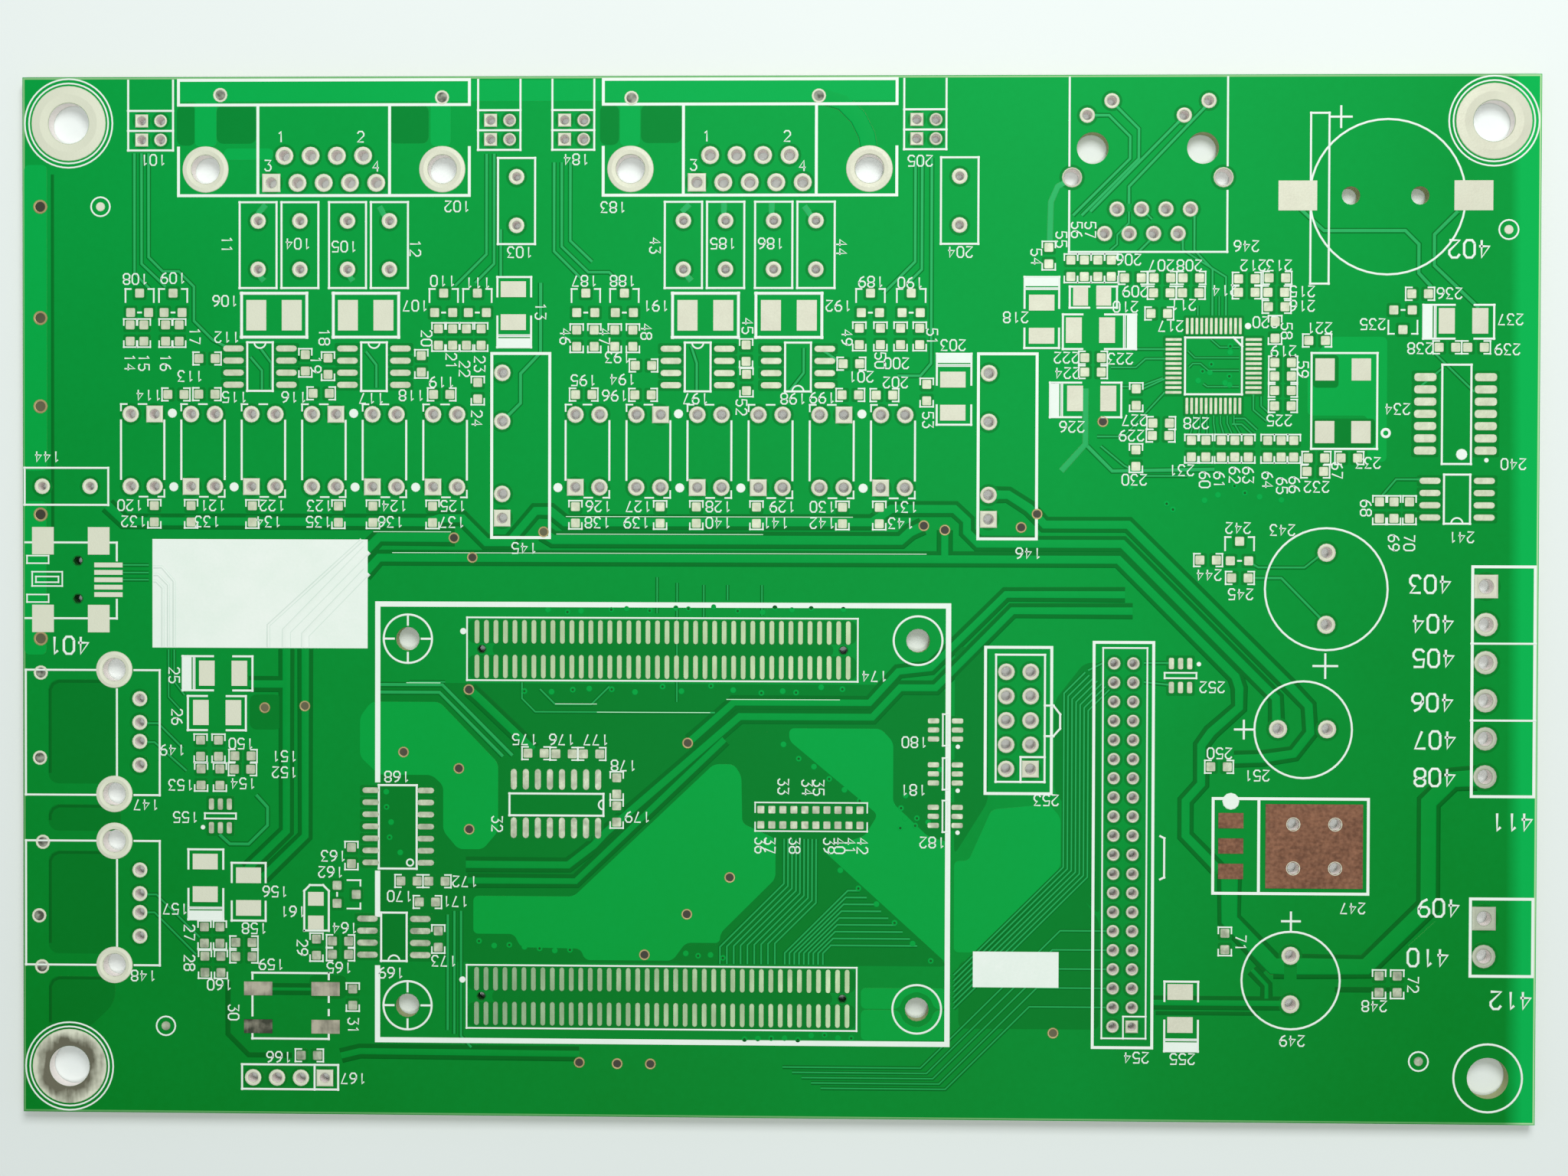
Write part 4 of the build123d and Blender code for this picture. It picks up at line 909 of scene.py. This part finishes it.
# Painted shade: greyer ink in a strip along both sides of each ridge that a track raises under the printed panel.
ridge_shade = Paint("painted_ridge_shade")
ridge_shade_cloud = ridge_shade.noise(300.0)
ridge_shade_tone = ridge_shade.blend(ridge_shade_cloud, (0.70, 0.80, 0.72, 1), (0.56, 0.70, 0.60, 1))
ridge_shade.set(Base_Color=ridge_shade_tone, Roughness=0.55 + ridge_shade_cloud * 0.1)
ridges = [
    ([(-42.9, 5), (-51.4, -3.6), (-51.4, -5.3)], 1.1), ([(-42.9, 2.7), (-49.4, -4), (-49.4, -5.3)], 1),
    ([(-43.4, 6), (-53.3, -3), (-53.3, -5.3)], 0.3),
    ([(-65.5, 3.1), (-64.6, 3.1), (-63.3, 1.6), (-63.3, -5.3)], 0.22),
    ([(-65.5, 2.3), (-65, 2.3), (-63.9, 1.2), (-63.9, -5.3)], 0.22),
    ([(-65.5, 1.6), (-65.2, 1.6), (-64.5, 0.9), (-64.5, -5.3)], 0.22),
]
ridge_shade_lines = [(points, width + 0.26, False) for points, width in ridges]
ribbons("painted_ridge_shade_lines", ridge_shade_lines, 0.034, ridge_shade.material, "white_ink")
ribbons("tracks_under_panel", [(points, width, False) for points, width in ridges], 0.042, ink.material, "white_ink")
lines = []


def stroke(points, width=0.25):
    """Straight strokes of ink from point to point, square at their ends."""
    for (x0, y0), (x1, y1) in zip(points, points[1:]):
        length = math.hypot(x1 - x0, y1 - y0)
        dx, dy = (x1 - x0) / length * width / 2, (y1 - y0) / length * width / 2
        lines.append(([(x0 - dx, y0 - dy), (x1 + dx, y1 + dy)], width, False))


def box(left, low, right, high, width=0.25):
    stroke([*rectangle(left, low, right, high), (left, low)], width)


def circle(x, y, radius, width=0.25, first=0.0, last=360.0):
    sides = 48 if radius > 2 else 20
    angles = [math.radians(first + (last - first) * k / sides) for k in range(sides + (last - first < 360))]
    lines.append(([(x + radius * math.cos(a), y + radius * math.sin(a)) for a in angles], width, last - first == 360))


for x, y in ((-74.475, 49.75), (74.475, 49.75), (-74.475, -49.75)):
    circle(x, y, 4.65, 0.2)
    circle(x, y, 4.2, 0.2)
circle(74.475, -49.75, 3.55)
for left, right in ((-68.15, -63.4), (-31.2, -26.75), (-23.4, -19.0), (13.4, 17.8)):
    stroke([(left, 54.2), (left, 46.9), (right, 46.9), (right, 54.2)])
    stroke([(left, 51.05), (right, 51.05)])
    stroke([(left, 48.95), (right, 48.95)])
resistors = [(x, 36.95) for x in (-54.40, -49.98, -44.95, -40.53, -9.63, -5.21, -0.18, 4.24)]
for x, y in ((-27.15, 41.55), (19.21, 41.55), *resistors):
    box(x - 1.95, y - 4.5, x + 1.95, y + 4.5)
box(-79.2, 9.62, -70.3, 13.52)
for x in (-52.7, -43.0, -7.3, 1.43):
    box(x - 3.45, 27.3, x + 3.45, 31.9, 0.35)
BANKS, BANK_PITCH = (-66.64, -19.65), 6.4
for bank in BANKS:
    for k in range(6):
        x = bank + BANK_PITCH * k
        for side in (-2.3, 2.3):
            stroke([(x + side, 18.5), (x + side, 12.4)])
        stroke([(x - 2.3, 19.6), (x - 2.3, 20.25), (x - 1.7, 20.25)], 0.2)
        stroke([(x - 0.4, 20.25), (x + 0.4, 20.25)], 0.2)
        stroke([(x - 0.3, 10.5), (x + 0.5, 10.5)], 0.2)
        stroke([(x + 1.7, 10.5), (x + 2.3, 10.5), (x + 2.3, 11.2)], 0.2)
for x, y, notch in small_outlines:
    box(x - 1.35, y - 2.55, x + 1.35, y + 2.55)
    end = 1 if notch == "top" else -1
    circle(x, y + 2.55 * end, 0.6, 0.2, 180 if end > 0 else 0, 360 if end > 0 else 180)
box(69.3, 14.2, 72.3, 24.5)
box(-41.6, -28.6, -37.6, -19.8)
circle(-38.3, -27.95, 0.35, 0.2)
box(-27.8, -22.9, -17.9, -20.6)
circle(-17.9, -21.75, 0.5, 0.2, 90, 270)
box(42.7, 21.4, 48.6, 27.3)
stroke([(48.6, 26.4), (47.7, 27.3)])
for x, y, turn in six_legs:
    long, short = (1.65, 0.28) if turn == 0 else (0.28, 1.65)
    box(x - long, y - short, x + long, y + short, 0.2)
for edge, tick in ((-21.4, -22.4), (-24.4, -23.5)):
    stroke([(-1.95, tick), (-1.95, edge), (9.8, edge), (9.8, tick)], 0.17)
box(23.2, -19.1, 28.3, -5.8)
stroke([(28.3, -11.1), (29.2, -11.1), (29.9, -12), (29.9, -13.5), (29.2, -14.3), (28.3, -14.3)])
stroke([(25.8, -19.1), (25.8, -16.5), (28.3, -16.5)])
box(34.35, -45.9, 38.95, -5.05, 0.2)
stroke([(36.6, -45.9), (36.6, -43.6), (38.95, -43.6)], 0.2)
stroke([(40.4, -24.7), (40.8, -24.9), (40.8, -29), (40.4, -29.2)])
for y in (-4.45, -12.45):
    stroke([(72.5, y), (79.1, y)])
stroke([(30.6, 54.3), (30.6, 45.2)])
stroke([(30.6, 42.5), (30.6, 36.2), (47, 36.2), (47, 42.5)])
stroke([(47, 45.2), (47, 54.3)])
circle(63.55, 41.9, 8.05)
box(55.6, 32.9, 57.5, 50.6)
for x, y, size in ((58.7, 50.2, 1.05), (57.4, -6.85, 1.2), (49.0, -13.5, 0.9), (54.0, -33.5, 0.9)):
    stroke([(x - size, y), (x + size, y)], 0.26)
    stroke([(x, y - size), (x, y + size)], 0.26)
alignment_places = [(-71.1, 41), (76.05, 38.5), (-64.2, -45.4), (67.3, -48.05)]
for x, y in alignment_places:
    circle(x, y, 1, 0.2)
bracketed = [
    (-29.15, 26.25, -25.6, 33.6, "low"), (26, 26.2, 29.6, 33.6, "high"), (16.9, 18.2, 20.5, 25.6, "high"),
    (-61.8, -34.1, -58.1, -26.7, "low"), (-57.2, -34.2, -53.6, -28.1, ""), (40.9, -47.2, 44.4, -39.9, "low"),
    (28.7, 19, 36.1, 22.6, "left"), (30.7, 30.4, 35.6, 32.6, ""), (30, 26.1, 37.6, 29.7, "right"),
    (67.3, 27.2, 74.6, 30.7, "left"), (-62.4, -9.9, -55, -6.3, "left"), (-61.85, -14.1, -55.7, -10.5, ""),
]
BAND_STRIPES = ((0, 0.95), (1.08, 1.35))
bands = []
for left, low, right, high, band in bracketed:
    near, far = (3.2 if band in ends else 2.0 for ends in (("low", "left"), ("high", "right")))
    if high - low > right - left:
        stroke([(left, low + near), (left, low), (right, low), (right, low + near)])
        stroke([(left, high - far), (left, high), (right, high), (right, high - far)])
    else:
        stroke([(left + near, low), (left, low), (left, high), (left + near, high)])
        stroke([(right - far, low), (right, low), (right, high), (right - far, high)])
    for near, far in BAND_STRIPES if band else ():
        bands.append({
            "low": rectangle(left, low + near, right, low + far),
            "high": rectangle(left, high - far, right, high - near),
            "left": rectangle(left + near, low, left + far, high),
            "right": rectangle(right - far, low, right - near, high),
        }[band])
box(55.8, 15.75, 62.6, 25.7)
circle(63.5, 17.4, 0.4, 0.32)
stroke([(-49.5, -35.2), (-49.5, -31), (-48.9, -30.4), (-47.5, -30.4), (-46.9, -31), (-46.9, -35.2), (-49.5, -35.2)])
stroke([(-79.1, 5.65), (-69.4, 5.65), (-69.4, 3.8)])
stroke([(-69.4, -0.4), (-69.4, -2.35), (-79.1, -2.35)])
box(-78, 1.45, -75.6, 2.05, 0.18)
for x, y, length, width in ((-77.8, 3.85, 2.3, 0.8), (-76.8, 1.8, 3.2, 1.5), (-77.8, -0.25, 2.3, 0.8)):
    box(x - length / 2, y - width / 2, x + length / 2, y + width / 2, 0.18)
for high, low in ((-7.8, -21.0), (-25.85, -39.0)):
    stroke([(-71.4, high), (-79.1, high), (-79.1, low), (-71.4, low)])
    stroke([(-67.5, high), (-64.85, high), (-64.85, low), (-67.5, low)])
    stroke([(-69.4, high - 2.05), (-69.4, low + 2.05)])
for x in (-38.55, 15.05):
    for y in (-4.37, -43.02):
        circle(x, y, 2.55)
        if x < 0:
            for dx, dy in ((1, 0), (-1, 0), (0, 1), (0, -1)):
                stroke([(x + 1.5 * dx, y + 1.5 * dy), (x + 2.5 * dx, y + 2.5 * dy)])
box(-32.3, -8.7, 8.75, -2.1, 0.2)
box(-32.3, -45.35, 8.75, -38.7, 0.2)
circle(57.45, 1.15, 6.35)
circle(55.15, -13.5, 5.05)
circle(54, -39.7, 5.1)
stroke([(-55, -40.3), (-55, -39.7), (-46.9, -39.7), (-46.9, -40.3)])
stroke([(-55, -42.1), (-55, -44.2)])
stroke([(-46.9, -42.2), (-46.9, -42.7)])
stroke([(-46.9, -43.6), (-46.9, -44.1)])
stroke([(-55, -46), (-55, -46.65), (-46.9, -46.65), (-46.9, -46)])
box(-56.1, -52, -45.9, -49.4)
stroke([(-48.4, -49.4), (-48.4, -52)])
ribbons("printed_outlines", lines, INK_RISE, ink.material, "white_ink")

lines = []
for x, y in chip_upright:
    for side in SIDES:
        base, back = y + side * CHIP_STEP / 2, y + side * (CHIP_STEP / 2 + 0.62)
        stroke([(x - 0.68, base), (x - 0.68, back), (x + 0.68, back), (x + 0.68, base)], 0.18)
for x, y in chip_level:
    for side in SIDES:
        base, back = x + side * CHIP_STEP / 2, x + side * (CHIP_STEP / 2 + 0.62)
        stroke([(base, y - 0.66), (back, y - 0.66), (back, y + 0.66), (base, y + 0.66)], 0.18)
for x, y, turn in transistors:
    for side in SIDES:
        stroke(swung(x, y, turn, ((side * 0.95, 1.45), (side * 1.5, 1.45), (side * 1.5, 0.1))), 0.2)
    stroke(swung(x, y, turn, ((-0.14, -1.02), (0.14, -1.02))), 0.22)
ribbons("chip_brackets", lines, INK_RISE, ink.material, "white_ink")

dots = [
    (71.35, 15.2, 0.6), (73.9, 14.6, 0.25), (-60.25, -24.35, 0.25), (44.3, -6.7, 0.25), (19.25, -15.45, 0.25),
    (19.25, -20.05, 0.25), (19.25, -24.45, 0.25), (49.2, 28.5, 0.35), (-32.7, -3.55, 0.35), (-32.75, -40.25, 0.35),
    (47.7, -21, 0.9),
]
for bank, turned_ones in zip(BANKS, ((0, 3), (1, 4))):
    for k in range(6):
        across, y = (3.15, 19.3) if k in turned_ones else (-3.1, 11.55)
        dots.append((bank + BANK_PITCH * k + across, y, 0.5))
marks = [(disc(radius, INK_RISE), x, y, 0) for x, y, radius in dots]
alignment_dot = disc(0.5, LAND_RISE)
repeat("alignment_dots", at(alignment_dot, alignment_places[:2]), tin.material, "tinned_copper")
repeat("worn_alignment_dots", at(alignment_dot, alignment_places[2:]), thin_tin.material, "tinned_copper")
repeat("polarity_dots", marks, ink.material, "white_ink")
sheets("polarity_bands", bands, INK_RISE, 0.15, ink.material, "white_ink")

# Running numbers: plain figures in the same ink beside each place, drawn with one round stroke.
# Most of them read from the far side of the board, and those in narrow rows are turned a quarter.
FIGURES = {
    "0": [(0, .2), (0, .8), (.15, 1), (.45, 1), (.6, .8), (.6, .2), (.45, 0), (.15, 0), (0, .2)],
    "1": [(.1, .8), (.3, 1), (.3, 0)],
    "2": [(0, .8), (.15, 1), (.45, 1), (.6, .8), (.6, .6), (0, 0), (.6, 0)],
    "3": [(0, 1), (.6, 1), (.3, .6), (.45, .6), (.6, .4), (.6, .2), (.45, 0), (.15, 0), (0, .2)],
    "4": [(.45, 0), (.45, 1), (0, .35), (.6, .35)],
    "5": [(.6, 1), (.05, 1), (0, .55), (.4, .6), (.6, .4), (.6, .2), (.45, 0), (.15, 0), (0, .15)],
    "6": [(.5, 1), (.2, .85), (0, .5), (0, .2), (.15, 0), (.45, 0), (.6, .2), (.6, .4), (.45, .55), (.15, .55),
          (0, .4)],
    "7": [(0, 1), (.6, 1), (.2, 0)],
    "8": [(.15, .55), (0, .7), (0, .85), (.15, 1), (.45, 1), (.6, .85), (.6, .7), (.45, .55), (.15, .55), (0, .4),
          (0, .15), (.15, 0), (.45, 0), (.6, .15), (.6, .4), (.45, .55)],
    "9": [(.1, 0), (.4, .15), (.6, .5), (.6, .8), (.45, 1), (.15, 1), (0, .8), (0, .6), (.15, .45), (.45, .45),
          (.6, .6)],
}
FIGURE_STEP, SMALL_FIGURE, LARGE_FIGURE = 0.85, 1.1, 1.8
figure_runs = []


def figures(number, x, y, height, turn):
    """Stroke a number of this height about its own middle."""
    label = str(number)
    start = (0.25 - FIGURE_STEP * len(label)) / 2
    for k, sign in enumerate(label):
        spots = [((px + FIGURE_STEP * k + start) * height, (py - 0.5) * height) for px, py in FIGURES[sign]]
        figure_runs.append((swung(x, y, turn, spots), 0.17 * height, False))


upside_down = [
    (-65.5, 45.9), (-33.4, 41), (-26.8, 36.2), (-50.2, 37.1), (-45.3, 36.8), (-57.9, 31.1), (-37.8, 30.6),
    (-67.4, 33.4), (-63.4, 33.5), (-34.9, 33.2), (-31.2, 33), (-57.7, 27.3), (-61.6, 23.2), (-66, 21.2), (-56.9, 21),
    (-50.6, 21), (-42.4, 20.9), (-38.2, 21.2), (-35, 22.6),
    *((x, 9.6) for x in (-68, -59.2, -52.9, -47.9, -40, -33.8, -18.5, -14.3, -5.9, 0.8, 5, 13.6)),
    *((x, 7.9) for x in (-67.6, -59.8, -53.3, -48, -40.4, -33.9, -18.6, -14.5, -5.9, 0.1, 5, 13.2)), (-76.8, 14.7),
    (-26.3, 5.2), (26.5, 4.8), (-66.3, -22), (-66.6, -40.1), (-63.5, -16.2), (-56.2, -15.5), (-51.6, -16.8),
    (-51.6, -18.5), (-62.6, -19.9), (-56, -19.7), (-62.1, -23.3), (-52.6, -31.1), (-63.2, -33), (-54.8, -35),
    (-53, -38.8), (-58.5, -41), (-50.7, -33.2), (-46.7, -29), (-46.4, -27.3), (-45.2, -34.9), (-45.8, -39.1),
    (-52.2, -48.6), (-44.3, -50.8), (-39.7, -18.9), (-40.3, -39.6), (-39.4, -31.5), (-33.5, -32), (-32.5, -29.9),
    (-34.7, -38.3), (10.5, -8.1), (-26.2, -14.9), (-22.3, -14.9), (-18.7, -14.9), (-15.8, -17.6), (-14.3, -23),
    (14.7, -15), (14.6, -20), (16.6, -25.5), (-17, 40.9), (-20.9, 45.9), (-5.5, 37.1), (-0.5, 37.1), (-20, 33.2),
    (-16, 33.2), (10, 33.1), (14.1, 33), (-12.5, 30.6), (6.6, 30.6), (-16.5, 25.2), (-16, 22.9), (-20.1, 22.8),
    (-16.8, 21.2), (-8.3, 20.9), (1.9, 20.9), (4.95, 21), (12.7, 24.6), (9, 23.2), (12.6, 22.6), (18.6, 26.5),
    (19.3, 36.2), (15.1, 45.7), (36.8, 35.4), (40.2, 34.8), (43.1, 34.8), (37.5, 32.1), (36.5, 30.5), (42.5, 30.7),
    (49.7, 34.8), (52.4, 34.8), (46.8, 32.2), (54.8, 32.1), (54.8, 30.6), (41.2, 28.5), (25.1, 29.4), (52.9, 25.9),
    (51, 28.9), (56.6, 28.3), (30.4, 25.2), (36, 25.1), (30.5, 23.6), (52.5, 18.7), (31, 18), (37.5, 18.7),
    (43.9, 18.4), (37.2, 17.1), (37.5, 12.5), (42.4, 13.5), (56.4, 11.8), (61.7, 14.3), (64.7, 19.9), (62.1, 28.7),
    (70, 31.9), (76.3, 29.2), (67, 26.2), (76, 26.1), (76.7, 14.2), (71.4, 6.6), (48.3, 7.5), (52.9, 7.3),
    (45.3, 2.6), (48.6, 0.6), (49, 36.8), (60.4, -32.1), (62.7, -42.3), (54.2, -46), (46.5, -16), (50.4, -18.3),
    (45.7, -9.1), (28.5, -21), (38, -47.9), (42.8, -48),
]
quarter_turned = [
    (-57.7, 37), (-37.8, 36.6), (-24.6, 30), (-68, 24.6), (-66.5, 24.6), (-64.2, 24.6), (-61.1, 27.4), (-47.4, 27.3),
    (-48.3, 24.4), (-36.6, 27.2), (-34, 24.8), (-32.6, 24), (-31, 24.5), (-31.3, 18.8), (-63.3, -8.3), (-63, -12.7),
    (-61.7, -35.5), (-61.7, -38.7), (-49.7, -37), (-57, -43.9), (-44.3, -45.2), (-29.1, -23.8), (1, -19.7),
    (3.5, -19.8), (4.7, -19.8), *((x, -25.9) for x in (-1.4, -0.4, 2.2, 5.8, 6.9, 8, 9.3)), (-12.6, 36.9),
    (6.9, 36.7), (-2.9, 28.5), (-22, 27.4), (-17.9, 27.4), (-13.5, 27.9), (7.5, 27.3), (11, 24.9), (16.4, 27.4),
    (-3.5, 20), (16, 18.7), (27.2, 35.7), (29.8, 37.5), (31.4, 38.5), (32.8, 38.5), (53.2, 28), (54.9, 24),
    (44.8, 12.5), (46.3, 12.5), (47.9, 13), (49.3, 13), (51.3, 12.5), (52.8, 11.9), (54.1, 12), (58.5, 13.5),
    (61.5, 9.6), (64.4, 6), (66, 6), (48.8, -35.8), (66.7, -40),
]
large = [
    (-74.5, -5.2), (72, 36.5), (68.2, 1.7), (68.5, -2.4), (68.6, -6), (68.5, -10.6), (68.8, -14.5), (68.8, -18.4),
    (69.3, -32), (68.2, -37.2), (76.8, -23), (76.8, -41.6),
]
for number, (x, y) in enumerate(upside_down, start=101):
    figures(number, x, y, SMALL_FIGURE, 180)
for number, (x, y) in enumerate(quarter_turned, start=11):
    figures(number, x, y, SMALL_FIGURE, 270)
for number, (x, y) in enumerate(large, start=401):
    figures(number, x, y, LARGE_FIGURE, 180)
for port in (-47.47, -2.7):
    for number, (dx, y) in enumerate(((-4.5, 48.3), (3.9, 48.3), (-5.9, 45.3), (5.5, 45.2)), start=1):
        figures(number, port + dx, y, SMALL_FIGURE, 0)
ribbons("running_numbers", figure_runs, INK_RISE, ink.material, "white_ink")
